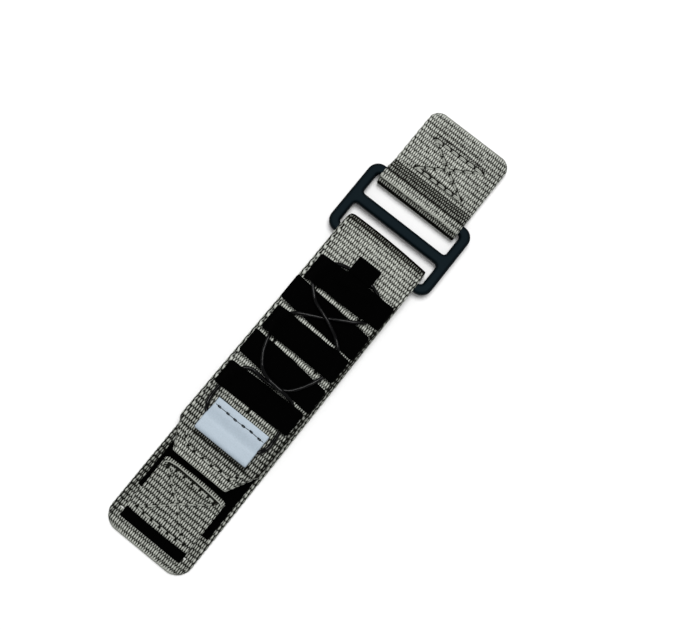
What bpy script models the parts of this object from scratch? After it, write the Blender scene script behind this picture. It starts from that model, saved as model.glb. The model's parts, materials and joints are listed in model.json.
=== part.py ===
"""Nylon watch strap, closed and lying flat, with its buckle, pull tab and laced ladder.

Metres, +Z up. The strap rests on z = 0. X runs across it and Y along it, from the
rounded end of the back layer towards the pull tab. The origin is the centre of its footprint.
"""
import math

import bmesh
import bpy
from mathutils import Vector

for old in list(bpy.data.objects):
    bpy.data.objects.remove(old)

# Clearances
SEAT_GAP = 0.0003        # between two pieces that touch
LACE_GAP = 0.0002        # between the lace and the tape that it slides on
HEM_GAP = 0.0002         # between the two plies of a hem

# Main webbing, one strip that turns round the buckle's lower bar
WEB_WIDTH = 0.0247
WEB_THICK = 0.0012
BACK_REACH = 0.0914      # rounded end to the middle of the lower bar
END_RADIUS = 0.0043      # corners of the rounded end
LOWER_SLACK = 0.00265    # how far the turn stands off the lower bar
FRONT_CLEAR = 0.0016     # end patch to the front layer's chamfered end
CHAMFER_LENGTH = 0.0077
CHAMFER_WIDTH = 0.0042
PEEL_OFFSET = 0.0025     # lower bar to the line where the front layer starts to peel
FRONT_LEAN = 0.0125      # sideways drift of the front layer for each metre

# Buckle
BUCKLE_THICK = 0.0022
END_BAR = 0.0025
CROSS_BAR = 0.0031
SIDE_BAR = 0.0028
SLOT_LENGTH = 0.0066
SLOT_SIDE_ROOM = 0.0008  # webbing to side bar
BUCKLE_RADIUS = 0.0031   # outer corners
SLOT_RADIUS = 0.0009
BUCKLE_EDGE = 0.0008     # rounding along every edge

# Pull tab
TAB_REACH = 0.02205      # middle of the upper bar to the tab's end
TAB_RADIUS = 0.0030
TAB_DROP = 0.0034        # length in which the upper ply comes down
UPPER_SLACK = 0.00095

# Hook and loop tapes
LOOP_THICK = 0.0009
LOOP_WIDTH = 0.0214
LOOP_SHIFT = 0.0004
LOOP_START = 0.0118      # from the rounded end
LOOP_STOP = 0.0074       # loop tape's other end to the middle of the lower bar
HOOK_THICK = 0.0010
HOOK_LENGTH = 0.0360
HOOK_SIDE = 0.00305      # front layer's selvedge to the hook tape
HOOK_MARGIN = 0.0021     # front layer's chamfered end to the hook tape

# End patch and strip
PATCH_START = 0.0064     # from the rounded end
PATCH_LENGTH = 0.0153
PATCH_WIDTH = 0.0185
PATCH_THICK = 0.0007
PATCH_HEM = 0.0027
PATCH_DIP = 0.0020       # length in which the patch comes down past a hem
STRIP_SHOWN = 0.0029     # strip outside the patch
STRIP_HIDDEN = 0.0042    # strip under the patch
STRIP_WIDTH = 0.0185
STRIP_THICK = 0.0009

# Ladder of five bands
BAND_COUNT = 5
BAND_THICK = 0.0006
BAND_WIDTH = 0.0228
BAND_GAP = 0.0016
BAND_RADIUS = 0.0007
LADDER_OFFSET = 0.00845  # lower bar to the ladder's top edge
LADDER_ROOM = 0.00765    # front layer's chamfered end to the reflective tab
LANE_FLANK = 0.0022      # how far a band's lift over the lace spreads
band_slant_shares = (0.07, -0.19, 0.0, -0.18, 0.05)         # rise across the band, of the pitch
band_shift_shares = (0.022, -0.006, 0.012, 0.010, 0.0)      # sideways, of the webbing's width
band_width_shares = (0.995, 1.04, 0.98, 1.015, 0.975)       # of the band width

# Tabs that hold the lace
TOP_TAB_WIDTH = 0.0067
TOP_TAB_SHIFT = 0.0005
TOP_TAB_SHOWN = 0.0053   # above the ladder's top edge
TOP_TAB_TUCK = 0.0022    # under the first band
TOP_TAB_DROP = 0.0013    # length in which the upper ply comes down
TOP_TAB_DROP_START = 0.0008
PALE_THICK = 0.0004
PALE_WIDTH = 0.0156
PALE_SHIFT = 0.0003
PALE_LENGTH = 0.0090
PALE_OFFSET = 0.0024     # ladder's lower edge to the reflective tab
PALE_RISE_START = 0.0012
PALE_RISE = 0.0025       # length in which the upper ply climbs over the lace
PALE_UNDER = 0.0058      # length of the lower ply

# Lace
LACE_DIAMETER = 0.0010
LACE_STEPS = 2           # points read from the curve for each chosen point

# Facets
EDGE_STEPS = 4
CORNER_STEPS = 7
TURN_STEPS = 12
EASE_STEPS = 8
FRAME_CORNER_STEPS = 7
FRAME_EDGE_STEPS = 4
BAND_COLUMNS = 36
FLAT_COLUMNS = 6
band_row_shares = (0.0, 0.045, 0.1, 0.24, 0.42, 0.6, 0.78, 0.9, 0.955, 1.0)

# Places along Y
bar_spacing = 2 * SLOT_LENGTH + CROSS_BAR + END_BAR
overall_length = BACK_REACH + bar_spacing + TAB_REACH
tail_y = -overall_length / 2
lower_bar_y = tail_y + BACK_REACH
upper_bar_y = lower_bar_y + bar_spacing
buckle_y = (lower_bar_y + upper_bar_y) / 2
front_end_y = tail_y + PATCH_START + PATCH_LENGTH + FRONT_CLEAR
peel_y = lower_bar_y - PEEL_OFFSET
ladder_top_y = lower_bar_y - LADDER_OFFSET
ladder_foot_y = front_end_y + LADDER_ROOM + PALE_LENGTH + PALE_OFFSET
band_height = (ladder_top_y - ladder_foot_y - (BAND_COUNT - 1) * BAND_GAP) / BAND_COUNT
band_pitch = band_height + BAND_GAP

# Heights
tape_z = WEB_THICK + SEAT_GAP
bar_stack = tape_z + BUCKLE_THICK + SEAT_GAP
hook_z = tape_z + LOOP_THICK + SEAT_GAP
tape_stack = hook_z + HOOK_THICK + SEAT_GAP
front_z = max(bar_stack, tape_stack)
front_top = front_z + WEB_THICK
bar_z = front_top / 2
turn_radius = (front_top - WEB_THICK) / 2
band_z = front_top + SEAT_GAP
lace_radius = LACE_DIAMETER / 2
lace_low = front_top + LACE_GAP + lace_radius
lace_on_band = band_z + BAND_THICK + LACE_GAP + lace_radius
lace_on_lace = lace_on_band + LACE_DIAMETER + LACE_GAP
lace_in_pale = band_z + PALE_THICK + LACE_GAP + lace_radius


def material(name, color, roughness, metallic=0.0):
    """A Principled material with one colour."""
    made = bpy.data.materials.new(name)
    made.use_nodes = True
    shader = made.node_tree.nodes["Principled BSDF"]
    shader.inputs["Base Color"].default_value = (*color, 1.0)
    shader.inputs["Roughness"].default_value = roughness
    shader.inputs["Metallic"].default_value = metallic
    return made


def add_object(name, bm, finish, smooth_angle=40.0):
    """Turn a bmesh into a named object with its material, smooth over its rounds."""
    bmesh.ops.recalc_face_normals(bm, faces=bm.faces)
    mesh = bpy.data.meshes.new(name)
    bm.to_mesh(mesh)
    bm.free()
    mesh.materials.append(finish)
    mesh.shade_smooth()
    mesh.set_sharp_from_angle(angle=math.radians(smooth_angle))
    made = bpy.data.objects.new(name, mesh)
    bpy.context.collection.objects.link(made)
    return made


def hinge_empty(name, y, z):
    """An empty on a joint's axis, which the moving pieces are parented to."""
    empty = bpy.data.objects.new(name, None)
    empty.location = (0, y, z)
    bpy.context.collection.objects.link(empty)
    return empty


def hang_on(empty, pieces):
    """Parent pieces to an empty and leave them where they are."""
    bpy.context.view_layer.update()
    for piece in pieces:
        piece.parent = empty
        piece.matrix_parent_inverse = empty.matrix_world.inverted()


def ease(share):
    """Smooth step from 0 to 1."""
    return share * share * (3 - 2 * share)


def arc(y, z, radius, first, last, steps):
    """Points of an arc in the YZ plane, angles in degrees from +Y towards +Z."""
    points = []
    for step in range(steps + 1):
        angle = math.radians(first + (last - first) * step / steps)
        points.append((y + radius * math.cos(angle), z + radius * math.sin(angle)))
    return points


def slope(y_start, z_start, y_end, z_end):
    """Points of a soft S from one height to another."""
    points = []
    for step in range(EASE_STEPS + 1):
        share = step / EASE_STEPS
        points.append((y_start + (y_end - y_start) * share,
                       z_start + (z_end - z_start) * ease(share)))
    return points


def rounded_end(y_end, z, direction, half_width, radius):
    """Stations (y, z, half width) from a tape's square-cut tip, past its rounded corners."""
    stations = []
    for step in range(CORNER_STEPS + 1):
        turn = math.pi / 2 * step / CORNER_STEPS
        y = y_end + direction * radius * (1 - math.cos(turn))
        stations.append((y, z, half_width - radius * (1 - math.sin(turn))))
    return stations


def ribbon(name, stations, thick, finish, centre=lambda y: 0.0):
    """A tape with rounded selvedges, swept along stations (y, z, half width)."""
    bm = bmesh.new()
    round_edge = thick / 2
    rings = []
    for index, (y, z, half) in enumerate(stations):
        before = stations[max(index - 1, 0)]
        after = stations[min(index + 1, len(stations) - 1)]
        along = Vector((0, after[0] - before[0], after[1] - before[1])).normalized()
        normal = Vector((0, -along.z, along.y))
        middle = Vector((centre(y), y, z))
        ring = []
        for side in (1, -1):
            for step in range(EDGE_STEPS + 1):
                angle = math.pi * (0.5 - step / EDGE_STEPS)
                out = side * (half - round_edge + round_edge * math.cos(angle))
                up = side * round_edge * math.sin(angle)
                ring.append(bm.verts.new(middle + Vector((out, 0, 0)) + normal * up))
        rings.append(ring)
    for one, other in zip(rings, rings[1:]):
        for index in range(len(one)):
            follow = (index + 1) % len(one)
            bm.faces.new((one[index], one[follow], other[follow], other[index]))
    bm.faces.new(reversed(rings[0]))
    bm.faces.new(rings[-1])
    return add_object(name, bm, finish)


def with_half(points, half):
    """Give every (y, z) point the same half width."""
    return [(y, z, half) for y, z in points]


def lean(y):
    """Sideways place of the front layer's middle."""
    return FRONT_LEAN * (y - lower_bar_y)


def front_half(y):
    """Half width of the front layer, which narrows at its chamfered end."""
    past = max(0.0, front_end_y + CHAMFER_LENGTH - y)
    return WEB_WIDTH / 2 - CHAMFER_WIDTH * past / CHAMFER_LENGTH


def back_webbing(finish):
    """Back layer from the rounded end, round the lower bar, to the peel line."""
    half = WEB_WIDTH / 2
    low = WEB_THICK / 2
    turn_y = lower_bar_y + LOWER_SLACK
    stations = rounded_end(tail_y, low, 1, half, END_RADIUS)
    stations += with_half(arc(turn_y, bar_z, turn_radius, -90, 90, TURN_STEPS), half)
    stations.append((peel_y + SEAT_GAP / 2, bar_z + turn_radius, half))
    return ribbon("back_webbing", stations, WEB_THICK, finish)


def front_webbing(finish):
    """Front layer from the peel line to the chamfered free end."""
    middle = front_z + WEB_THICK / 2
    places = (peel_y - SEAT_GAP / 2, front_end_y + CHAMFER_LENGTH, front_end_y)
    stations = [(y, middle, front_half(y)) for y in places]
    return ribbon("front_webbing", stations, WEB_THICK, finish, lean)


def loop_tape(finish):
    """Soft tape sewn on the back layer."""
    middle = tape_z + LOOP_THICK / 2
    start = tail_y + LOOP_START
    stations = [(y, middle, LOOP_WIDTH / 2) for y in (start, lower_bar_y - LOOP_STOP)]
    return ribbon("loop_tape", stations, LOOP_THICK, finish, lambda y: LOOP_SHIFT)


def hook_tape(finish):
    """Hook tape sewn under the front layer's free end, with the same chamfer."""
    middle = tape_stack - SEAT_GAP - HOOK_THICK / 2
    start = front_end_y + HOOK_MARGIN
    half = WEB_WIDTH / 2 - HOOK_SIDE
    narrow = front_half(start) - HOOK_MARGIN
    widen = start + (half - narrow) * CHAMFER_LENGTH / CHAMFER_WIDTH
    stations = [(start, middle, narrow), (widen, middle, half), (start + HOOK_LENGTH, middle, half)]
    return ribbon("hook_tape", stations, HOOK_THICK, finish, lean)


def end_strip(finish):
    """Narrow strip that starts under the end patch and shows beside it."""
    middle = tape_z + STRIP_THICK / 2
    patch_y = tail_y + PATCH_START
    stations = [(y, middle, STRIP_WIDTH / 2) for y in (patch_y - STRIP_SHOWN, patch_y + STRIP_HIDDEN)]
    return ribbon("end_strip", stations, STRIP_THICK, finish)


def end_patch(finish):
    """Webbing patch with both ends hemmed under, drawn down between its hems."""
    half = PATCH_WIDTH / 2
    fold_radius = (PATCH_THICK + HEM_GAP) / 2
    outer = fold_radius + PATCH_THICK / 2
    low = tape_z + max(LOOP_THICK, STRIP_THICK) + SEAT_GAP + PATCH_THICK / 2
    high = low + 2 * fold_radius
    start = tail_y + PATCH_START
    end = start + PATCH_LENGTH
    dip_start = start + PATCH_HEM + PATCH_THICK
    dip_end = end - PATCH_HEM - PATCH_THICK
    points = [(start + PATCH_HEM, low)]
    points += arc(start + outer, low + fold_radius, fold_radius, 270, 90, TURN_STEPS // 2)
    points += slope(dip_start, high, dip_start + PATCH_DIP, low)
    points += slope(dip_end - PATCH_DIP, low, dip_end, high)
    points += arc(end - outer, low + fold_radius, fold_radius, 90, -90, TURN_STEPS // 2)
    points.append((end - PATCH_HEM, low))
    return ribbon("end_patch", with_half(points, half), PATCH_THICK, finish)


def pull_tab(finish):
    """Short webbing folded double round the upper bar."""
    half = WEB_WIDTH / 2
    low = WEB_THICK / 2
    flat = tape_z + WEB_THICK / 2
    high = bar_z + turn_radius
    end_y = upper_bar_y + TAB_REACH
    crest_y = upper_bar_y + END_BAR / 2 - SEAT_GAP
    stations = rounded_end(end_y, flat, -1, half, TAB_RADIUS)
    stations += with_half(slope(crest_y + TAB_DROP, flat, crest_y, high), half)
    stations += with_half(arc(upper_bar_y - UPPER_SLACK, bar_z, turn_radius, 90, 270, TURN_STEPS), half)
    stations += reversed(rounded_end(end_y, low, -1, half, TAB_RADIUS))
    return ribbon("pull_tab", stations, WEB_THICK, finish)


def rounded_rectangle(x_half, y_half, radius, centre_y):
    """Plan points of a rectangle with rounded corners, anticlockwise."""
    points = []
    for corner, (x_side, y_side) in enumerate(((1, 1), (-1, 1), (-1, -1), (1, -1))):
        for step in range(FRAME_CORNER_STEPS + 1):
            angle = math.pi / 2 * (corner + step / FRAME_CORNER_STEPS)
            points.append((x_side * (x_half - radius) + radius * math.cos(angle),
                           centre_y + y_side * (y_half - radius) + radius * math.sin(angle)))
    return points


def buckle(finish):
    """Frame with two slots and every edge rounded, built up as loops and capped."""
    x_slot = WEB_WIDTH / 2 + SLOT_SIDE_ROOM
    y_slot = SLOT_LENGTH / 2
    slot_step = (CROSS_BAR + SLOT_LENGTH) / 2
    x_outer = x_slot + SIDE_BAR
    y_outer = (bar_spacing + END_BAR) / 2
    outlines = ((x_outer, y_outer, BUCKLE_RADIUS, buckle_y, -1),
                (x_slot, y_slot, SLOT_RADIUS, buckle_y + slot_step, 1),
                (x_slot, y_slot, SLOT_RADIUS, buckle_y - slot_step, 1))
    flank = BUCKLE_THICK / 2 - BUCKLE_EDGE
    levels = []
    for side in (-1, 1):
        steps = range(FRAME_EDGE_STEPS + 1)
        for step in (steps if side > 0 else reversed(steps)):
            angle = math.pi / 2 * step / FRAME_EDGE_STEPS
            levels.append((side * (flank + BUCKLE_EDGE * math.sin(angle)),
                           BUCKLE_EDGE * (1 - math.cos(angle))))
    bm = bmesh.new()
    caps = ([], [])
    for x_half, y_half, radius, centre_y, grow in outlines:
        rings = []
        for height, inset in levels:
            change = grow * inset
            plan = rounded_rectangle(x_half + change, y_half + change, radius + change, centre_y)
            rings.append([bm.verts.new((x, y, bar_z + height)) for x, y in plan])
        for one, other in zip(rings, rings[1:]):
            for index in range(len(one)):
                follow = (index + 1) % len(one)
                bm.faces.new((one[index], one[follow], other[follow], other[index]))
        for cap, ring in zip(caps, (rings[0], rings[-1])):
            for index in range(len(ring)):
                cap.append(bm.edges.get((ring[index], ring[(index + 1) % len(ring)])))
    for cap in caps:
        bmesh.ops.triangle_fill(bm, use_beauty=True, edges=cap)
    return add_object("buckle", bm, finish)


# The lace's route: x and y in metres, y from the strap's rounded end, and the height of its middle.
# It starts inside the reflective tab and runs up the left, across the top tab and back.
lace_mid = (lace_low + lace_on_band) / 2
lace_near_low = (lace_low + lace_mid) / 2
lace_near_band = (lace_mid + lace_on_band) / 2
lace_climb = (lace_on_band + lace_on_lace) / 2
lace_route = (
    (-0.0003, 0.0324, lace_in_pale), (-0.0040, 0.0329, lace_in_pale), (-0.0069, 0.0344, lace_in_pale),
    (-0.0083, 0.0356, lace_in_pale), (-0.0093, 0.0370, lace_near_low), (-0.00975, 0.0386, lace_low),
    (-0.00985, 0.0403, lace_low), (-0.00975, 0.0421, lace_low), (-0.0093, 0.0445, lace_low),
    (-0.0087, 0.0470, lace_low), (-0.0079, 0.0490, lace_low), (-0.0062, 0.0500, lace_low),
    (-0.0042, 0.0500, lace_near_low), (-0.0012, 0.0498, lace_on_band), (0.0009, 0.0500, lace_on_band),
    (0.0030, 0.0507, lace_on_band), (0.0045, 0.0518, lace_on_band), (0.0061, 0.0540, lace_on_band),
    (0.0075, 0.0566, lace_on_band), (0.0082, 0.0584, lace_near_band), (0.0084, 0.0597, lace_mid),
    (0.0084, 0.0612, lace_low), (0.0080, 0.0635, lace_low), (0.0077, 0.0653, lace_near_low),
    (0.00735, 0.0662, lace_near_band), (0.0066, 0.0671, lace_on_band), (0.0050, 0.0682, lace_on_band),
    (0.0028, 0.0694, lace_climb), (-0.0002, 0.0710, lace_on_lace), (-0.0032, 0.0727, lace_climb),
    (-0.0056, 0.0741, lace_on_band), (-0.0074, 0.0750, lace_on_band), (-0.0082, 0.0760, lace_near_band),
    (-0.0084, 0.0773, lace_mid), (-0.0083, 0.0790, lace_low), (-0.0079, 0.0810, lace_low),
    (-0.0071, 0.0826, lace_low), (-0.0057, 0.0836, lace_near_low), (-0.0043, 0.0841, lace_mid),
    (-0.0030, 0.0844, lace_on_band), (0.0005, 0.0849, lace_on_band), (0.0039, 0.0844, lace_on_band),
    (0.0051, 0.0841, lace_mid), (0.0062, 0.0836, lace_near_low), (0.0071, 0.0826, lace_low),
    (0.0080, 0.0810, lace_low), (0.0085, 0.0790, lace_low), (0.0086, 0.0774, lace_low),
    (0.0082, 0.0760, lace_near_low), (0.0071, 0.0750, lace_near_band), (0.0056, 0.0741, lace_on_band),
    (0.0030, 0.0728, lace_on_band), (-0.0002, 0.0710, lace_on_band), (-0.0036, 0.0690, lace_on_band),
    (-0.0062, 0.0674, lace_on_band), (-0.0075, 0.0664, lace_mid), (-0.0081, 0.0651, lace_near_low),
    (-0.0084, 0.0630, lace_low), (-0.0084, 0.0608, lace_near_low), (-0.0082, 0.0595, lace_mid),
    (-0.0079, 0.0583, lace_on_band), (-0.0069, 0.0554, lace_on_band), (-0.0056, 0.0533, lace_on_band),
    (-0.0046, 0.0521, lace_on_band), (-0.0033, 0.0512, lace_climb), (-0.0012, 0.05055, lace_on_lace),
    (0.0009, 0.05035, lace_on_lace), (0.0030, 0.05025, lace_on_lace), (0.0046, 0.0501, lace_climb),
    (0.0061, 0.0498, lace_on_band), (0.0071, 0.0491, lace_near_band), (0.0075, 0.0481, lace_mid),
    (0.0077, 0.0466, lace_low), (0.0081, 0.0444, lace_low), (0.0085, 0.0422, lace_low),
    (0.00875, 0.0405, lace_low), (0.00885, 0.0387, lace_low), (0.0086, 0.0371, lace_near_low),
    (0.0078, 0.0358, lace_in_pale), (0.0063, 0.0345, lace_in_pale), (0.0034, 0.0330, lace_in_pale),
)


def smooth_route(route, steps):
    """Points of a closed Catmull-Rom curve through the route, in the strap's frame."""
    corners = [Vector((x, tail_y + y, z)) for x, y, z in route]
    count = len(corners)
    points = []
    for index in range(count):
        before, start, end, after = (corners[(index + k) % count] for k in (-1, 0, 1, 2))
        for step in range(steps):
            t = step / steps
            points.append(0.5 * (2 * start + (end - before) * t
                                 + (2 * before - 5 * start + 4 * end - after) * t * t
                                 + (3 * start - before - 3 * end + after) * t * t * t))
    return points


lace_points = smooth_route(lace_route, LACE_STEPS)
lace_samples = smooth_route(lace_route, 4 * LACE_STEPS)


def elastic_lace(finish):
    """Round elastic lace, one closed loop through the ladder and both tabs."""
    curve = bpy.data.curves.new("elastic_lace", "CURVE")
    curve.dimensions = "3D"
    curve.bevel_depth = lace_radius
    curve.bevel_resolution = 2
    spline = curve.splines.new("POLY")
    spline.points.add(len(lace_points) - 1)
    for target, point in zip(spline.points, lace_points):
        target.co = (*point, 1.0)
    spline.use_cyclic_u = True
    curve.materials.append(finish)
    made = bpy.data.objects.new("elastic_lace", curve)
    bpy.context.collection.objects.link(made)
    return made


def fall(distance, reach):
    """Falls smoothly from 1 to 0 as a distance grows to a reach."""
    if distance >= reach:
        return 0.0
    return math.cos(math.pi * distance / (2 * reach)) ** 2


def lift_over_lace(x, y):
    """How far a band rises at a point to clear the lace below it."""
    lift = 0.0
    for point in lace_samples:
        across = math.hypot(x - point.x, y - point.y)
        if across < LANE_FLANK:
            clear = point.z + lace_radius + LACE_GAP - band_z
            lift = max(lift, clear * fall(across, LANE_FLANK))
    return lift


def top_tab_middle():
    """Sideways place of the top tab."""
    return lean(ladder_top_y) + TOP_TAB_SHIFT


def top_tab_heights():
    """Heights of the middles of the top tab's plies: lower, upper where tucked, upper over the lace."""
    lower = band_z + BAND_THICK / 2
    tucked = lower + BAND_THICK + HEM_GAP
    over = lace_on_band + lace_radius + LACE_GAP + BAND_THICK / 2
    return lower, tucked, over


def lift_over_tab(x, y):
    """How far the first band rises at a point to clear the top tab tucked under it."""
    tucked, over = top_tab_heights()[1:]
    drop_start = ladder_top_y + TOP_TAB_DROP_START
    share = min(max((drop_start - y) / TOP_TAB_DROP, 0.0), 1.0)
    top = over + (tucked - over) * ease(share) + BAND_THICK / 2 + SEAT_GAP - band_z
    beside = max(0.0, abs(x - top_tab_middle()) - TOP_TAB_WIDTH / 2 - SEAT_GAP)
    below = max(0.0, ladder_top_y - TOP_TAB_TUCK - SEAT_GAP - y)
    return top * fall(beside, LANE_FLANK) * fall(below, LANE_FLANK)


def ladder_band(number, finish):
    """One tape across the front layer. Odd ones lift over the lace that runs below them."""
    index = number - 1
    middle_y = ladder_top_y - band_height / 2 - index * band_pitch
    middle_x = lean(middle_y) + WEB_WIDTH * band_shift_shares[index]
    width = BAND_WIDTH * band_width_shares[index]
    rise = band_pitch * band_slant_shares[index]
    over_lace = number % 2 == 1
    columns = BAND_COLUMNS if over_lace else FLAT_COLUMNS
    bm = bmesh.new()
    plies = ([], [])
    for row in band_row_shares:
        from_edge = band_height * min(row, 1 - row)
        inside = max(0.0, BAND_RADIUS - from_edge)
        half = width / 2 - BAND_RADIUS + math.sqrt(BAND_RADIUS ** 2 - inside ** 2)
        lines = ([], [])
        for column in range(columns + 1):
            share = 2 * column / columns - 1
            x = middle_x + half * share
            y = middle_y + band_height * (row - 0.5) + rise * (x - middle_x) / width
            lift = lift_over_lace(x, y) if over_lace else 0.0
            if number == 1:
                lift = max(lift, lift_over_tab(x, y))
            for line, height in zip(lines, (0.0, BAND_THICK)):
                line.append(bm.verts.new((x, y, band_z + lift + height)))
        for ply, line in zip(plies, lines):
            ply.append(line)
    rows = len(band_row_shares) - 1
    for ply in plies:
        for row in range(rows):
            for column in range(columns):
                bm.faces.new((ply[row][column], ply[row][column + 1],
                              ply[row + 1][column + 1], ply[row + 1][column]))
    border = [(row, column) for row, column in
              [(0, c) for c in range(columns)] + [(r, columns) for r in range(rows)]
              + [(rows, c) for c in range(columns, 0, -1)] + [(r, 0) for r in range(rows, 0, -1)]]
    for (row, column), (next_row, next_column) in zip(border, border[1:] + border[:1]):
        bm.faces.new((plies[0][row][column], plies[0][next_row][next_column],
                      plies[1][next_row][next_column], plies[1][row][column]))
    return add_object(f"ladder_band_{number}", bm, finish)


def lace_top_tab(finish):
    """Folded tape that comes out from under the first band and holds the lace."""
    lower, tucked, over = top_tab_heights()
    fold_radius = (over - lower) / 2
    start = ladder_top_y - TOP_TAB_TUCK
    fold_y = ladder_top_y + TOP_TAB_SHOWN - fold_radius - BAND_THICK / 2
    drop_start = ladder_top_y + TOP_TAB_DROP_START
    points = [(start, lower)]
    points += arc(fold_y, (lower + over) / 2, fold_radius, -90, 90, TURN_STEPS)
    points += slope(drop_start, over, drop_start - TOP_TAB_DROP, tucked)
    points.append((start, tucked))
    stations = with_half(points, TOP_TAB_WIDTH / 2)
    return ribbon("lace_top_tab", stations, BAND_THICK, finish, lambda y: top_tab_middle())


def reflective_tab(finish):
    """Pale tape sewn along its top edge and folded round the lace at its lower end."""
    lower = band_z + PALE_THICK / 2
    over = lace_in_pale + lace_radius + LACE_GAP + PALE_THICK / 2
    fold_radius = (over - lower) / 2
    top_y = ladder_foot_y - PALE_OFFSET
    fold_y = top_y - PALE_LENGTH + fold_radius + PALE_THICK / 2
    rise_y = top_y - PALE_RISE_START
    points = [(top_y, lower)]
    points += slope(rise_y, lower, rise_y - PALE_RISE, over)
    points += arc(fold_y, (lower + over) / 2, fold_radius, 90, 270, TURN_STEPS)
    points.append((top_y - PALE_LENGTH + PALE_UNDER, lower))
    middle = lean(top_y) + PALE_SHIFT
    stations = with_half(points, PALE_WIDTH / 2)
    return ribbon("reflective_tab", stations, PALE_THICK, finish, lambda y: middle)


def build():
    """Make every piece and parent the moving ones to empties on their hinges."""
    nylon = material("woven_nylon", (0.26, 0.26, 0.235), 0.75)
    metal = material("dark_coated_metal", (0.012, 0.017, 0.024), 0.32, 0.6)
    fleece = material("black_loop_tape", (0.008, 0.008, 0.009), 0.95)
    hooks = material("black_hook_tape", (0.010, 0.010, 0.011), 0.6)
    tape = material("black_tape", (0.007, 0.007, 0.008), 0.9)
    cord = material("black_elastic_cord", (0.012, 0.012, 0.014), 0.6)
    pale = material("reflective_tape", (0.50, 0.55, 0.61), 0.45)

    back_webbing(nylon)
    loop_tape(fleece)
    end_patch(nylon)
    end_strip(tape)
    frame = buckle(metal)
    tab = pull_tab(nylon)
    front = [front_webbing(nylon), hook_tape(hooks), lace_top_tab(tape), elastic_lace(cord)]
    front += [ladder_band(number, tape) for number in range(1, BAND_COUNT + 1)]
    pale_tab = reflective_tab(pale)

    peel_hinge = hinge_empty("front_peel_hinge", peel_y, front_top)
    lower_hinge = hinge_empty("buckle_hinge", lower_bar_y, bar_z)
    upper_hinge = hinge_empty("pull_tab_hinge", upper_bar_y, bar_z)
    pale_hinge = hinge_empty("reflective_tab_hinge", ladder_foot_y - PALE_OFFSET, band_z)
    hang_on(lower_hinge, [frame, upper_hinge])
    hang_on(upper_hinge, [tab])
    hang_on(peel_hinge, front + [pale_hinge])
    hang_on(pale_hinge, [pale_tab])

    length = sum((b - a).length for a, b in zip(lace_points, lace_points[1:] + lace_points[:1]))
    print("overall length", round(overall_length, 5), "lace length", round(length, 5))
    print("peel hinge", peel_y, front_top, "lower bar", lower_bar_y, bar_z, "upper bar", upper_bar_y)
    print("reflective tab hinge", ladder_foot_y - PALE_OFFSET, band_z)


build()
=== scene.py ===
# %% [markdown]
# # A nylon watch strap, closed and lying flat
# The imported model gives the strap's real sizes and joints. This lesson dresses it: every woven tape, thread
# and cord is modelled at its real size, and each finish is mixed from what the real material is.
# The frame comes in first, because every place below is read from it.

# %% Load the frame
import json
import math

import bpy
import numpy as np
from mathutils import Matrix, Vector
from mathutils.bvhtree import BVHTree


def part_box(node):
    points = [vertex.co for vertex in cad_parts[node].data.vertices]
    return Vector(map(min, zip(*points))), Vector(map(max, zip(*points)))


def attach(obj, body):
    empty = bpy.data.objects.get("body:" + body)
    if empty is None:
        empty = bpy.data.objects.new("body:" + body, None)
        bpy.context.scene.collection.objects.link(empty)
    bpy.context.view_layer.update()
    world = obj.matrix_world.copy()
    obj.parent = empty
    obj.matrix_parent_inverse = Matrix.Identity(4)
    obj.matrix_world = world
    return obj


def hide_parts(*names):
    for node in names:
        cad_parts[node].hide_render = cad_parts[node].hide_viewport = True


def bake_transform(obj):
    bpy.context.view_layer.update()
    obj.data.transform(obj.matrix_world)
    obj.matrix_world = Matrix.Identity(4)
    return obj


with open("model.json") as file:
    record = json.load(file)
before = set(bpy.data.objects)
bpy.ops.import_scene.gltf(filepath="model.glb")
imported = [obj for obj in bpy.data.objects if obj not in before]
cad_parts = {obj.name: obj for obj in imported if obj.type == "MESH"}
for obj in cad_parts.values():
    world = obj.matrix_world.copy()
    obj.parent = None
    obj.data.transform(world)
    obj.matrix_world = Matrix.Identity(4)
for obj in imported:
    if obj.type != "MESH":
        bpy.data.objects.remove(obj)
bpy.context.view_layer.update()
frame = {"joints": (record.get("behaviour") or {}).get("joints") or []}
MM = 0.001

# %% [markdown]
# ## Camera
# The picture was taken from almost straight above, about 22 cm away. A camera can be aimed by an empty and a
# Track To constraint, but then its roll has to be tuned by eye. Here the three directions of the camera are
# written down, so its matrix is exact. The focal length is given in pixels of a 680 pixel wide picture.

# %% Place the camera
PICTURE_WIDTH = 680
FOCAL_PIXELS = 900
CAMERA_PLACE = Vector((0.0168, -0.023425, 0.2234))
CAMERA_LOOK = Vector((-0.0665, 0.1407, -0.9878)).normalized()
CAMERA_UP = Vector((-0.6194, 0.7704, 0.1514))

camera_data = bpy.data.cameras.new("camera")
camera_data.sensor_width = 36.0
camera_data.lens = camera_data.sensor_width * FOCAL_PIXELS / PICTURE_WIDTH
camera_data.clip_start = 0.01
camera = bpy.data.objects.new("camera", camera_data)
bpy.context.collection.objects.link(camera)
camera_right = CAMERA_LOOK.cross(CAMERA_UP).normalized()
camera_top = camera_right.cross(CAMERA_LOOK)
turn = Matrix((camera_right, camera_top, -CAMERA_LOOK)).transposed().to_4x4()
camera.matrix_world = Matrix.Translation(CAMERA_PLACE) @ turn
bpy.context.scene.camera = camera
print("lens", round(camera_data.lens, 1), "mm")

# %% [markdown]
# ## Colours and nodes
# Colours are read off a picture as sRGB hex values, but a shader works in linear light, so one function
# converts them. A second one adds a shader node with its settings and links in a single call, and the short
# ones after it use that for what most cloth needs. So each material stays short enough to read as a recipe.

# %% Helpers for materials
def linear(code):
    """sRGB hex to a linear RGBA colour."""
    parts = [int(code[place:place + 2], 16) / 255 for place in (1, 3, 5)]
    return [c / 12.92 if c <= 0.04045 else ((c + 0.055) / 1.055) ** 2.4 for c in parts] + [1.0]


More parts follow.
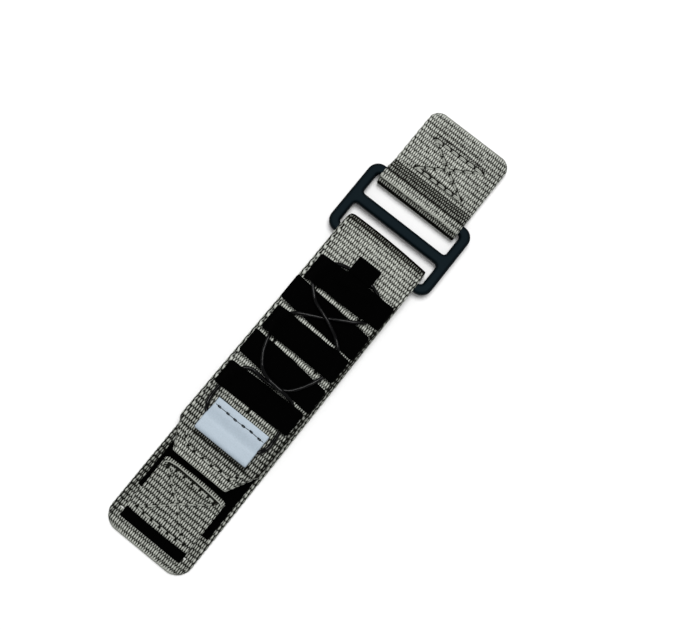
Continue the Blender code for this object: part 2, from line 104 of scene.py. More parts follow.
def add_node(tree, kind, values=None, links=None, **settings):
    """Add a node, set its properties and input values, and link its inputs to other sockets."""
    node = tree.nodes.new(kind)
    for name, value in settings.items():
        setattr(node, name, value)
    for socket, value in (values or {}).items():
        node.inputs[socket].default_value = value
    for socket, source in (links or {}).items():
        tree.links.new(source, node.inputs[socket])
    return node


def start_material(name, roughness, **values):
    """A Principled material with its plain values set on the shader itself."""
    made = bpy.data.materials.new(name)
    made.use_nodes = True
    shader = made.node_tree.nodes["Principled BSDF"]
    shader.inputs["Roughness"].default_value = roughness
    for socket, value in values.items():
        shader.inputs[socket.replace("_", " ")].default_value = value
    return made, made.node_tree, shader


def set_ramp(node, stops):
    """Give a colour ramp its (place, hex) stops."""
    elements = node.color_ramp.elements
    while len(elements) < len(stops):
        elements.new(0.5)
    for element, (place, code) in zip(elements, stops):
        element.position = place
        element.color = linear(code)


def add_noise(tree, place, scale, detail, roughness=0.5):
    """Noise at some coordinates."""
    return add_node(tree, "ShaderNodeTexNoise", {"Scale": scale, "Detail": detail, "Roughness": roughness},
                    {"Vector": place}).outputs["Fac"]


def add_range(tree, source, low, high, source_low=0.3, source_high=0.7):
    """Map a value to a new range; the old one is at first that of a noise."""
    ends = {"From Min": source_low, "From Max": source_high, "To Min": low, "To Max": high}
    return add_node(tree, "ShaderNodeMapRange", ends, {"Value": source}).outputs["Result"]


def multiply(tree, one, other):
    """The product of two values."""
    return add_node(tree, "ShaderNodeMath", links={0: one, 1: other}, operation="MULTIPLY").outputs["Value"]


def object_place(tree):
    """Coordinates that stay with the piece."""
    return add_node(tree, "ShaderNodeTexCoord").outputs["Object"]


def paint(tree, shader, factor, code="#ffffff", ramp=None):
    """Base colour from a hex value or a ramp, made lighter or darker by a factor."""
    shade = add_node(tree, "ShaderNodeVectorMath", {0: linear(code)[:3]}, {"Scale": factor},
                     operation="SCALE")
    if ramp:
        tree.links.new(ramp.outputs["Color"], shade.inputs[0])
    tree.links.new(shade.outputs["Vector"], shader.inputs["Base Color"])


def roughen(tree, shader, height, strength, distance):
    """Fine bumps from a height."""
    bump = add_node(tree, "ShaderNodeBump", {"Strength": strength, "Distance": distance}, {"Height": height})
    tree.links.new(bump.outputs["Normal"], shader.inputs["Normal"])


print("mid grey", [round(v, 3) for v in linear("#808080")[:3]])

# %% [markdown]
# ## Floor and light
# The strap lies on a white surface under a wide, soft studio light. A large area lamp gives soft shadows. A
# white world and a weaker, wider lamp from the other side fill them. The main lamp stands a little towards
# the pull tab's end, because the shadows in the picture fall a little towards the rounded end.

# %% Make the floor and the light
FLOOR_HALF = 2.0
LAMP_SIZE = 0.3
LAMP_DISTANCE = 0.7
LAMP_FROM = Vector((-0.05, 0.20, 1.0)).normalized()
LAMP_POWER = 3.8
FILL_FROM = Vector((-0.3, -0.5, 1.0)).normalized()
FILL_POWER = 0.35
WORLD_STRENGTH = 0.48

floor_mesh = bpy.data.meshes.new("floor")
corners = [(x * FLOOR_HALF, y * FLOOR_HALF, 0.0) for x, y in ((-1, -1), (1, -1), (1, 1), (-1, 1))]
floor_mesh.from_pydata(corners, [], [(0, 1, 2, 3)])
floor = bpy.data.objects.new("floor", floor_mesh)
bpy.context.collection.objects.link(floor)
paper = start_material("matt_white_paper", 0.9, Base_Color=linear("#f4f4f4"))[0]
floor_mesh.materials.append(paper)


def area_lamp(name, direction, power, size):
    """A square soft lamp that looks at the strap."""
    data = bpy.data.lights.new(name, "AREA")
    data.energy = power
    data.size = size
    lamp = bpy.data.objects.new(name, data)
    lamp.location = direction * LAMP_DISTANCE
    lamp.rotation_mode = "QUATERNION"
    lamp.rotation_quaternion = (-direction).to_track_quat("-Z", "Y")
    bpy.context.collection.objects.link(lamp)


area_lamp("key_lamp", LAMP_FROM, LAMP_POWER, LAMP_SIZE)
area_lamp("fill_lamp", FILL_FROM, FILL_POWER, 3 * LAMP_SIZE)
world = bpy.data.worlds.new("studio")
world.use_nodes = True
world.node_tree.nodes["Background"].inputs["Color"].default_value = linear("#ffffff")
world.node_tree.nodes["Background"].inputs["Strength"].default_value = WORLD_STRENGTH
bpy.context.scene.world = world
bpy.context.scene.view_settings.view_transform = "Standard"
print("lamps", len(bpy.data.lights))

# %% [markdown]
# ## Sizes from the frame
# The webbing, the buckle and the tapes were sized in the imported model. Each box gives a width, a thickness
# and a place, so nothing here has to be fitted by hand. Only the small sizes that a box can't tell, such as
# the radius of a rounded corner, are written down again.

# %% Read the strap's sizes
hinges = {joint["name"]: joint["pos_m"] for joint in frame["joints"]}
back_low, back_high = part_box("back_webbing")
front_low, front_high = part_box("front_webbing")
tab_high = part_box("pull_tab")[1]

TAIL_Y = back_low.y
WEB_HALF = (back_high.x - back_low.x) / 2
WEB_THICK = front_high.z - front_low.z
FRONT_TOP = front_high.z
BAR_Z = hinges["buckle_tilt"][2]
LOWER_BAR_Y = hinges["buckle_tilt"][1]
UPPER_BAR_Y = hinges["pull_tab_swing"][1]
PEEL_Y = hinges["front_peel"][1]
TURN_RADIUS = (FRONT_TOP - WEB_THICK) / 2
FRONT_LEAN = 0.0125          # sideways drift of the front layer for each metre


def lean(y):
    """Sideways place of the front layer's middle."""
    return FRONT_LEAN * (y - LOWER_BAR_Y)


def packed(box):
    """Corners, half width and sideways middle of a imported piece's box."""
    low, high = box
    return low, high, (high.x - low.x) / 2, (high.x + low.x) / 2


def fade(value, start, length):
    """From 0 at a start to 1 a length further on; a negative length goes the other way."""
    return np.clip((value - start) / length, 0, 1)


print("webbing", round(2 * WEB_HALF / MM, 1), "x", round(WEB_THICK / MM, 2), "mm, its top at",
      round(FRONT_TOP / MM, 2))

# %% [markdown]
# ## How webbing is woven
# Nylon webbing shows rows of short warp floats, laid like bricks: each float covers one row and tucks its
# ends under the floats of the next ones. A bump map could draw that, but it would vanish at the strap's
# edge, so the floats are real relief. This function gives the height at any place, as a share from 0 in the
# gaps to 1 on a float, and a random tone for each float. Its scale comes from the strap itself: 1.4 mm from
# row to row and 0.6 mm from float to float.

# %% The weave as a formula
FLOAT_REACH = 0.615      # half a float's length, in rows
FLOAT_FULL = 0.92        # a float's width, of its share of the width
FLOAT_GROOVE = 0.94      # how deep the grooves beside it are
FLOAT_STRAY = 0.10       # how far a float strays, in rows
FLOAT_TWIST = 0.08       # how far a float leans, in floats for each row
WANDER = 0.20            # mm, how far rows wander
WANDER_LENGTH = 3.1      # mm, from one bend of a row to the next
FLOAT_SWAY = 0.2         # how far a float sits off its place, in half widths
FLOAT_SINK = 0.06        # how much lower the lowest float lies
FLOAT_ENDS = 2.2         # the power that rounds a float's ends
WEB_ROW = 1.385          # mm from row to row
WEB_FLOAT = 0.61         # mm from float to float


def random_share(one, other):
    """A repeatable random number from 0 to 1 for each pair of whole numbers."""
    mixed = np.sin(one * 12.9898 + other * 78.233) * 43758.5453
    return mixed - np.floor(mixed)


def soft_noise(across, along, size, seed):
    """Smooth random heights from 0 to 1, with lumps of a size in mm."""
    u, v = across / size, along / size
    left, low = np.floor(u), np.floor(v)
    u, v = u - left, v - low
    u, v = u * u * (3 - 2 * u), v * v * (3 - 2 * v)
    corner = [[random_share(left + i + seed, low + j - seed) for j in (0, 1)] for i in (0, 1)]
    return ((corner[0][0] * (1 - u) + corner[1][0] * u) * (1 - v)
            + (corner[0][1] * (1 - u) + corner[1][1] * u) * v)


def brick_weave(across, along, width=WEB_FLOAT, row=WEB_ROW, shift=0.5):
    """Height share and tone of warp floats at places in mm."""
    along = along + WANDER * (soft_noise(across, along, WANDER_LENGTH, 2.0) - 0.5)
    height = np.zeros_like(across)
    tone = np.full_like(across, 0.5)
    for step in (-1, 0, 1):
        number = np.floor(along / row) + step
        past = along / row - number - 0.5
        beside = across / width + shift * (number % 2) + FLOAT_TWIST * past
        column = np.floor(beside)
        beside = 2 * (beside - column) - 1 + FLOAT_SWAY * (random_share(column, number + 0.5) - 0.5)
        past = past + FLOAT_STRAY * (random_share(column + 0.5, number) - 0.5)
        groove = np.minimum(np.abs(beside / FLOAT_FULL), 1.0) ** 2
        dome = 1 - FLOAT_GROOVE * groove - np.abs(past / FLOAT_REACH) ** FLOAT_ENDS
        dome = np.sqrt(np.clip(dome, 0, 1)) * (1 - FLOAT_SINK * random_share(column - 0.5, number))
        tone = np.where(dome > height, random_share(column, number), tone)
        height = np.maximum(height, dome)
    return height, tone


def opened(height, share):
    """Floats that are thinned by a share, so that the gaps between them open."""
    return np.clip((height - share) / (1 - 0.6 * share), 0, 1)


sample = brick_weave(np.linspace(0, 6, 400), np.linspace(0, 13, 400))[0]
print("mean relief", round(float(sample.mean()), 2))

# %% [markdown]
# ## One builder for every tape
# Webbing, hemmed patch, folded tab: each is a flat tape that follows a path seen from the side. The builder
# walks along that path, lays an evenly spaced section round the tape at each step, and sinks every point by
# the weave's relief. Blender's Curve with a bevel object would also sweep a section, but it can't carve
# each point. The mesh also gets three attributes for its material: relief, tone and the place in mm, and
# an unrolled map that a texture bake can use.

# %% The tape builder
NOSE_SHARES = ((0.0, 0.5), (0.03, 0.7), (0.12, 0.88), (0.3, 1.0))    # of a step, and of the thickness
SEALED_RIM = 0.45 * MM       # width of a heat-cut edge
SEALED_RELIEF = 0.62
PIT_DEPTH = 0.45 * MM        # of a needle's hole


def add_piece(name, points, faces, finish, body, marks=None, chart=None):
    """Make a smooth object from points and faces that rides on a body."""
    mesh = bpy.data.meshes.new(name)
    corners = faces if isinstance(faces, list) else faces.tolist()
    mesh.from_pydata(np.reshape(points, (-1, 3)).tolist(), [], corners)
    for title, values in (marks or {}).items():
        kind, field = ("FLOAT", "value") if values.ndim == 1 else ("FLOAT_VECTOR", "vector")
        mark = mesh.attributes.new(title, kind, "POINT")
        mark.data.foreach_set(field, values.astype(np.float32).ravel())
    if chart is not None:
        layer = mesh.uv_layers.new(name="OFBake")
        layer.data.foreach_set("uv", np.asarray(chart, np.float32).ravel())
    mesh.materials.append(finish)
    mesh.shade_smooth()
    made = bpy.data.objects.new(name, mesh)
    bpy.context.collection.objects.link(made)
    if body:
        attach(made, body)
    return made


def walk(path, step):
    """Even stations on a (y, z) path, closer at its ends: places, unit normals and the run along it."""
    path = np.array(path)
    run = np.concatenate(([0.0], np.cumsum(np.hypot(*np.diff(path, axis=0).T))))
    even = np.linspace(0, run[-1], max(3, round(run[-1] / step)) + 1)
    near = step * np.array(NOSE_SHARES)[:, 0]
    along = np.unique(np.concatenate((even, near, run[-1] - near)))
    y, z = (np.interp(along, run, side) for side in path.T)
    slope_y, slope_z = np.gradient(y, along), np.gradient(z, along)
    length = np.hypot(slope_y, slope_z)
    return y, z, -slope_z / length, slope_y / length, along


def section(half, radius, count):
    """Even places round a tape: share of the flat, and angle of the outward direction."""
    flat = 2 * (half - radius)
    turn_length = math.pi * radius
    place = np.arange(count) * 2 * (flat + turn_length) / count
    zones = [place < flat, place < flat + turn_length, place < 2 * flat + turn_length]
    under = place - flat - turn_length
    share = np.select(zones, [2 * place / flat - 1, 1.0, 1 - 2 * under / flat], -1.0)
    right = math.pi / 2 - (place - flat) / radius
    left = -math.pi / 2 - (under - flat) / radius
    return share, np.select(zones, [math.pi / 2, right, -math.pi / 2], left)


def tape(name, path, half, thick, finish, body, weave, step, spacing, depth,
         middle=0.0, width_at=None, rim=None, presses=(), thinning_and_shade=None, bow=None, noses=(True, True)):
    """A tape with real relief. Lengths are in metres; weave takes places in mm."""
    y, z, normal_y, normal_z, along = walk(path, step)
    radius = thick / 2
    count = 2 * round((2 * half + (math.pi - 2) * radius) / spacing)
    share, angle = section(half, radius, count)
    rows = len(along)
    halves = np.full(rows, half) if width_at is None else width_at(y, along, along[-1])
    flat_x = share[None, :] * (halves - radius)[:, None]
    place_x = flat_x + (middle(y)[:, None] if callable(middle) else middle)
    place_y = np.broadcast_to(y[:, None], flat_x.shape)
    place_z = z[:, None] + normal_z[:, None] * np.sin(angle) * radius

    whole = 4 * (half - radius) + 2 * math.pi * radius
    zones = [angle[None, :] > -math.pi / 2 + 1e-6, angle[None, :] > -math.pi / 2 - 1e-6]
    unrolled = np.select(zones, [flat_x + radius * (math.pi / 2 - angle), whole / 2 - flat_x],
                         flat_x - radius * (angle + 1.5 * math.pi))
    run = np.broadcast_to(along[:, None], flat_x.shape)
    relief, tone = weave(unrolled / MM, run / MM)
    # Thinned floats deepen the grooves and darken the colour; in places this is painted shade.
    if thinning_and_shade is not None:
        relief = opened(relief, thinning_and_shade(place_x, place_y, place_z))
    if rim is not None:
        sealed = np.clip(1 - rim(flat_x, along[:, None], along[-1]) / SEALED_RIM, 0, 1)
        relief = relief + (SEALED_RELIEF - relief) * np.minimum(1, 2 * sealed)
    carve = depth * (1 - relief)
    for press in presses:
        sunk = press(place_x, place_y, place_z)
        carve = carve + sunk
        # Sunk places also get a lower relief, which the webbing's colour ramp turns into painted shade in
        # seam grooves and needle holes.
        relief = relief * (1 - np.clip(sunk / PIT_DEPTH, 0, 1) ** 2)

    thin = np.ones(rows)
    shares, thins = np.array(NOSE_SHARES).T
    for rounded, from_end in zip(noses, (along, along[-1] - along)):
        if rounded:
            thin = np.minimum(thin, np.interp(from_end, step * shares, thins))
    reach = radius * thin[:, None] - carve
    up = np.sin(angle) * reach
    out = place_x + np.cos(angle) * reach
    points = np.stack((out, y[:, None] + normal_y[:, None] * up, z[:, None] + normal_z[:, None] * up), 2)
    if bow is not None:
        points[:, :, 1] += bow(out, y[:, None], z[:, None])
    faces, chart = tape_faces(rows, count)
    marks = {"relief": relief.ravel(), "tone": tone.ravel(),
             "place": np.stack((unrolled / MM, run / MM, np.zeros_like(run)), 2).reshape(-1, 3)}
    made = add_piece(name, points, faces, finish, body, marks, chart)
    print(name, "rows", rows, "points", len(made.data.vertices))
    return made


def tape_faces(rows, count):
    """Quads round every step and across both ends, with an unrolled map that keeps clear of its rims."""
    row, column = np.meshgrid(np.arange(rows - 1), np.arange(count), indexing="ij")
    follow = (column + 1) % count
    side = np.stack((row * count + column, (row + 1) * count + column,
                     (row + 1) * count + follow, row * count + follow), 2).reshape(-1, 4)
    u = np.stack((column, column, column + 1, column + 1), 2) / count
    v = 0.02 + 0.96 * np.stack((row, row + 1, row + 1, row), 2) / (rows - 1)
    chart = [np.stack((u, v), 3).reshape(-1, 4, 2)]
    flat = count // 2
    top = np.arange(flat - 1)
    mirror = (2 * flat - 1 - top) % count
    ends = []
    for base, flip, low, high in ((0, False, 0.0, 0.014), ((rows - 1) * count, True, 1.0, 0.986)):
        quad = np.stack((top, top + 1, mirror - 1, mirror), 1) + base
        ends.append(quad[:, ::-1] if flip else quad)
        u = np.stack((top, top + 1, top + 1, top), 1) / flat
        v = np.broadcast_to(np.array([low, low, high, high]), u.shape)
        spots = np.stack((u, v), 2)
        chart.append(spots[:, ::-1] if flip else spots)
    return np.concatenate([side] + ends), np.concatenate(chart)


print("tape builder ready")

# %% [markdown]
# ## Webbing material: woven nylon yarn
# The webbing is nylon 6 yarn in a warm grey. Filaments lie side by side in each float, so a float has a
# soft sheen. The relief attribute drives the colour: the gaps between floats get a painted shade and each
# float's back a painted highlight, and each float gets its own slight tone. A noise stretched along the yarn
# draws the filaments, at a coarser size than the real one so that they show. Roughness is that of a dull
# textile yarn.

# %% Mix the webbing
FILAMENT = 0.11          # mm, coarser than the real 0.03 so that it shows
# Stops from the gaps to the floats' backs: the dark end is painted shade, the light end a painted highlight.
WEB_SHADE_STOPS = ((0.0, "#0a0a08"), (0.42, "#1e1f1b"), (0.7, "#858880"), (1.0, "#c6c9c1"))

nylon, nylon_tree, nylon_shader = start_material("woven_grey_nylon", 0.42)
relief, tone, place = (add_node(nylon_tree, "ShaderNodeAttribute", attribute_name=mark)
                       for mark in ("relief", "tone", "place"))
stretched = add_node(nylon_tree, "ShaderNodeMapping", {"Scale": (1 / FILAMENT, 0.12 / FILAMENT, 1.0)},
                     {"Vector": place.outputs["Vector"]})
fibres = add_noise(nylon_tree, stretched.outputs["Vector"], 1.0, 2.0)
blotches = add_noise(nylon_tree, place.outputs["Vector"], 0.35, 1.0)
web_shade_ramp = add_node(nylon_tree, "ShaderNodeValToRGB", links={"Fac": relief.outputs["Fac"]})
set_ramp(web_shade_ramp, WEB_SHADE_STOPS)
by_float = add_range(nylon_tree, tone.outputs["Fac"], 0.92, 1.16, 0.0, 1.0)
by_fibre = add_range(nylon_tree, fibres, 0.86, 1.1)
by_blotch = add_range(nylon_tree, blotches, 0.94, 1.05)
sheen = add_range(nylon_tree, relief.outputs["Fac"], 0.0, 0.6, 0.35, 0.8)
paint(nylon_tree, nylon_shader, multiply(nylon_tree, multiply(nylon_tree, by_float, by_fibre), by_blotch),
      ramp=web_shade_ramp)
roughen(nylon_tree, nylon_shader, fibres, 0.5, 0.00004)
nylon_tree.links.new(sheen, nylon_shader.inputs["Specular IOR Level"])
print("made", nylon.name)

# %% [markdown]
# ## Where the seams run
# Every seam is drawn here once, as needle holes in mm across the strap and from its rounded end. The cloth
# builders sink the weave along these lines, and the thread is sewn into the same holes later. Sinking the
# cloth first matters: a stitch that lies on an undisturbed surface looks glued on.

# %% Mark out the seams
PIT_RADIUS = 0.33 * MM


def strap_point(place):
    """A place in mm, measured across the strap and from its rounded end, in the frame."""
    return place[0] * MM, TAIL_Y + place[1] * MM


def seam_lines(rows):
    """The line pieces of some rows of places in mm."""
    lines = []
    for row in rows:
        points = [strap_point(place) for place in row]
        lines += zip(points, points[1:])
    return lines


def holes(start, end, count):
    """Even holes from one place to another."""
    return [(start[0] + (end[0] - start[0]) * k / count, start[1] + (end[1] - start[1]) * k / count)
            for k in range(count + 1)]


def away_from(x, y, lines):
    """Distance of every place to the nearest of some line pieces."""
    nearest = np.full(np.broadcast(x, y).shape, 1.0)
    for (ax, ay), (bx, by) in lines:
        length = (bx - ax) ** 2 + (by - ay) ** 2
        share = np.clip(((x - ax) * (bx - ax) + (y - ay) * (by - ay)) / length, 0, 1)
        nearest = np.minimum(nearest, np.hypot(x - ax - share * (bx - ax), y - ay - share * (by - ay)))
    return nearest


def pressed(lines, width, depth, lowest, highest=1.0, power=2):
    """A function that sinks a surface along seams, between two heights; more power gives a flatter floor."""
    def press(x, y, z):
        held = (z >= lowest) & (z <= highest)
        return depth * held * np.exp(-(away_from(x, y, lines) / width) ** power)
    return press


def pitted(places, lowest, highest=1.0):
    """A function that sinks a surface at needle holes in mm, between two heights."""
    middles = [strap_point(place) for place in places]

    def press(x, y, z):
        held = (z >= lowest) & (z <= highest)
        near = np.min([np.hypot(x - u, y - v) for u, v in middles], axis=0)
        return PIT_DEPTH * held * np.exp(-(near / PIT_RADIUS) ** 4)
    return press


tab_a, tab_b, tab_c, tab_d = (-7.4, 125.5), (7.6, 125.8), (-6.9, 116.3), (7.4, 116.5)
tab_rows = (holes(tab_a, tab_b, 6), holes(tab_c, tab_d, 6))
tab_crosses = (holes(tab_a, tab_d, 7), holes(tab_b, tab_c, 7))
tab_row_lines = seam_lines(((tab_a, tab_b), (tab_c, tab_d)))
tab_cross_lines = seam_lines(((tab_a, tab_d), (tab_b, tab_c)))
tab_holes = [place for row in tab_rows + tab_crosses for place in row]

patch_rows = (
    ((-7.2, 19.8), (-5.0, 19.95), (-2.6, 19.95), (-0.1, 19.95), (2.3, 19.95), (4.8, 19.9), (6.8, 19.8)),
    ((-6.9, 7.95), (-4.8, 7.65), (-2.3, 7.6), (0.3, 7.6), (2.6, 7.6), (5.1, 7.65), (7.3, 7.8)),
    ((-7.1, 19.4), (-5.4, 18.15), (-3.65, 16.75), (-2.0, 15.4), (0.14, 14.1), (1.75, 12.45), (3.6, 10.7),
     (5.3, 9.15), (7.2, 8.1)),
    ((-6.9, 8.1), (-5.2, 9.15), (-3.45, 10.7), (-1.6, 12.3), (0.14, 14.1), (1.9, 15.3), (3.75, 16.7),
     (5.4, 17.95), (6.8, 19.3)))
patch_lines = seam_lines(patch_rows)
patch_holes = [place for row in patch_rows for place in row]
hem_groove = ((-8.0, 19.5), (-7.2, 20.3), (-5.0, 20.6), (0.0, 20.5), (5.0, 20.35), (7.2, 20.2), (7.4, 19.6))
hem_ridge = ((-8.7, 20.0), (-7.6, 20.75), (-5.5, 21.1), (0.0, 21.0), (5.0, 20.8), (8.0, 20.6), (9.0, 20.1))

front_holes = ((-9.3, 29.4), (-8.4, 27.73), (-6.6, 26.4), (-4.64, 26.25), (-1.95, 26.24), (0.77, 26.11),
               (3.35, 26.48), (6.16, 26.05), (7.37, 27.68), (8.6, 29.5))
pale_holes = ((-7.75, 38.2), (-6.53, 38.17), (-3.91, 38.14), (-1.63, 38.04), (0.85, 38.1), (3.19, 38.23),
              (5.77, 38.06), (7.2, 38.1))
notches = [((x, top), (x, foot)) for x, top, foot in (
    (-6.5, 76.3, 74.7), (6.5, 76.5, 73.9), (-6.6, 68.3, 66.0), (6.3, 67.6, 66.6), (-6.4, 59.8, 58.1),
    (6.2, 59.8, 58.6), (-0.45, 42.6, 41.2))]
faint_notches = [((x, top), (x, foot)) for x, top, foot in (
    (-0.1, 76.3, 74.6), (-0.1, 67.9, 66.4), (-0.1, 59.8, 58.0), (-6.7, 42.6, 41.5), (6.0, 42.6, 41.6))]
print("holes", len(tab_holes) + len(patch_holes) + len(front_holes) + len(pale_holes))

# %% [markdown]
# ## Back layer and the turn round the lower bar
# The back layer runs from the rounded, heat-cut end under the whole strap, turns round the buckle's lower
# bar and ends where the front layer can peel away. Its turn isn't a half circle: the upper side comes down
# slowly, which gives the picture its dark rows beside the slot, and the crown is drawn in at both edges.
# Each layer also has a function that thins its floats in places. That deepens the gaps and darkens the
# colour: partly a real opening of the stretched weave, partly painted shade on slopes, creases and edges and
# under the tabs.

# %% Weave the back layer
END_RADIUS = 4.3 * MM
EASY_TURN = 4.6 * MM         # length of the turn's upper side
CROWN_OUT = 0.38 * MM        # the crown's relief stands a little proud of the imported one
RELIEF_DEPTH = 0.32 * MM
SELVEDGE = 11.3              # mm from the middle to the edge's thicker floats
SELVEDGE_FLOAT = 0.9         # mm, their width
SELVEDGE_SHIFT = 0.25
TAIL_PHASE = 0.2             # mm, where the first row lies
TURN_SHIFTS = ((0.0, 2.4, 3.9, 5.3, 6.6),            # mm past the crown, and how far rows move there, in mm
               (0.0, -0.96, -1.0, -0.83, -0.66))
ROW_SLANT = 0.018            # mm for each mm across, past the crown
# Thinning before the crown: partly the stretched weave, partly painted shade on its slope and under its edge.
CROWN_OPENED_AND_SHADED = ((3.5, 0.6, 0.14), (2.2, 0.9, 0.34), (0.7, 0.4, 0.42))   # mm before it, over a length, a share
BACK_WIDER = 0.09 * MM       # on either side, towards the rounded end
QUARTER = (WEB_HALF - WEB_THICK / 2 + math.pi * WEB_THICK / 4) / MM     # of the way round the webbing
ROW_STEP = WEB_ROW * MM / 6
FLOAT_STEP = WEB_FLOAT * MM / 4
ALL_BELOW = -1.0
UNDERSIDE = 0.3 * MM         # a press that ends at this height marks the underside alone
crown_y = back_high.y - WEB_THICK / 2 + CROWN_OUT
turn_run = (crown_y - TAIL_Y) / MM
turn_y = crown_y - TURN_RADIUS
top_z = FRONT_TOP - WEB_THICK / 2


def oval(y, z, y_radius, z_radius, first, last, steps=40):
    """Points on part of an oval in the YZ plane, angles in degrees from +Y towards +Z."""
    angles = np.radians(np.linspace(first, last, steps + 1))
    return list(zip(y + y_radius * np.cos(angles), z + z_radius * np.sin(angles)))


def rounded_half(y_from_end, half, radius):
    """Half width near a square end with rounded corners."""
    inside = np.clip(radius - y_from_end, 0, radius)
    return half - radius + np.sqrt(radius ** 2 - inside ** 2)


def rounded_rim(x, y_from_end, half, radius):
    """Distance from a rounded end's cut outline."""
    side = np.abs(x) - (half - radius)
    below = radius - y_from_end
    corner = radius - np.hypot(np.maximum(side, 0), np.maximum(below, 0))
    return np.where((side > 0) & (below > 0), corner, np.where(side > 0, 1.0, y_from_end))


def web_weave(across, along):
    """The main webbing's floats, with thicker ones where the weft turns round both edges."""
    height, tone = brick_weave(across, along)
    out = np.abs(QUARTER - np.abs(np.abs(across) - QUARTER)) - SELVEDGE
    thick_height, thick_tone = brick_weave(out, along, SELVEDGE_FLOAT, shift=SELVEDGE_SHIFT)
    edge = out < 1.3 * SELVEDGE_FLOAT
    held = (out > 0) & edge
    height = opened(np.where(held, thick_height, height), 0.08 * fade(out, -3, 2.5) * edge)
    # Floats on the rounded edges are raised a little: shallower grooves and a lighter colour, a painted light
    # against the edges' shade.
    return height + 0.12 * fade(out, 0.8, 0.4) * (1 - height), np.where(held, thick_tone, tone)


def strap_weave(across, along):
    """The webbing's floats from its rounded end; past the turn its rows lie a little askew."""
    past = along - turn_run
    pushed = np.interp(past, *TURN_SHIFTS) + ROW_SLANT * across * np.clip(past / 3, 0, 1)
    return web_weave(across, along + TAIL_PHASE + pushed)


def crown_bow(x, y, z):
    """The crown is drawn in a little, more at its right side and at its left corner."""
    near = fade(y, crown_y - 2 * EASY_TURN, 2 * EASY_TURN)
    share = x / WEB_HALF
    return -MM * near ** 2 * (0.3 * share + 0.35 * share ** 2 + 0.6 * fade(-share, 0.86, 0.14) ** 2)


def back_thinned_and_shaded(x, y, z):
    """Thinned floats, which also darken the colour: on the crown and its upper side's edges partly the
    stretched weave and partly painted shade on its slope and under its edge; darker along the tail's edges,
    most at the left, and a little on the tail.
    """
    out = np.abs(x) / MM
    crown = sum(more * fade(y, crown_y - before * MM, length * MM) for before, length, more in CROWN_OPENED_AND_SHADED)
    crown = np.maximum(crown, 0.12 * fade(out, 11.0, 0.4) * (z > BAR_Z))
    edge = fade(out, 10.5, 0.4) * np.where(x < 0, 0.2, 0.08)
    return np.maximum(crown, (0.09 + edge) * fade(y, TAIL_Y + 32 * MM, -3 * MM))


def back_growth(y):
    """How much wider the back layer is on either side."""
    return BACK_WIDER * fade(y, PEEL_Y, -30 * MM)


back_path = [(TAIL_Y, WEB_THICK / 2)]
back_path += oval(turn_y, BAR_Z, TURN_RADIUS, TURN_RADIUS, -90, 0)
back_path += oval(crown_y - EASY_TURN, BAR_Z, EASY_TURN, TURN_RADIUS, 0, 90)[1:]
back_path.append((PEEL_Y, top_z))
back_web = tape("main_webbing_back", back_path, WEB_HALF, WEB_THICK, nylon, "back", strap_weave,
                ROW_STEP, FLOAT_STEP, RELIEF_DEPTH, noses=(True, False), bow=crown_bow, thinning_and_shade=back_thinned_and_shaded,
                presses=(pressed(patch_lines, 0.4 * MM, 0.3 * MM, ALL_BELOW, UNDERSIDE),),
                middle=lambda y: -back_growth(y),
                width_at=lambda y, along, whole: rounded_half(along, WEB_HALF, END_RADIUS) + back_growth(y),
                rim=lambda x, along, whole: rounded_rim(x, along, WEB_HALF, END_RADIUS))
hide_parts("back_webbing")

# %% [markdown]
# ## Front layer
# The same strip of webbing goes on above, so its floats carry on from the back layer. The free end is cut
# with two slanted corners.

# %% Weave the front layer
CHAMFER_LENGTH = 7.7 * MM
CHAMFER_WIDTH = 4.2 * MM
PALE_FOOT = 31.2             # mm from the rounded end to the reflective tab's lower edge
FRONT_END_Y = front_low.y
FRONT_WORN = 0.07 * MM       # its edges are a little rubbed
FRONT_RIM = 3                # its cut edges are sealed this much narrower
FRONT_SHIFTS = ((25.7, 26.7, 29.0, 34.0),            # mm from the rounded end, and how far rows move, in mm
                (0.2, -0.3, -0.25, 0.1))
ROW_LEVEL = 0.0136           # mm for each mm across that the last rows lie straighter
back_run = sum(math.dist(a, b) for a, b in zip(back_path, back_path[1:])) / MM


def front_halves(y, along, whole):
    """Half width of the front layer, which narrows at its free end."""
    past = np.clip(FRONT_END_Y + CHAMFER_LENGTH - y, 0, CHAMFER_LENGTH)
    return WEB_HALF - FRONT_WORN * fade(y, PEEL_Y, -10 * MM) - CHAMFER_WIDTH * past / CHAMFER_LENGTH


def front_middle(y):
    """Sideways place of the front layer, pushed a little to the right once it has peeled."""
    return lean(y) + 0.9 * FRONT_WORN * fade(y, PEEL_Y, -10 * MM)


def front_rim(x, along, whole):
    """Distance from the cut end and its slanted corners."""
    left = whole - along
    slant = WEB_HALF - CHAMFER_WIDTH * np.clip(CHAMFER_LENGTH - left, 0, CHAMFER_LENGTH) / CHAMFER_LENGTH
    side = (slant - np.abs(x)) * CHAMFER_LENGTH / math.hypot(CHAMFER_LENGTH, CHAMFER_WIDTH)
    return FRONT_RIM * np.where(left < CHAMFER_LENGTH, np.minimum(np.abs(left), np.abs(side)), 1.0)


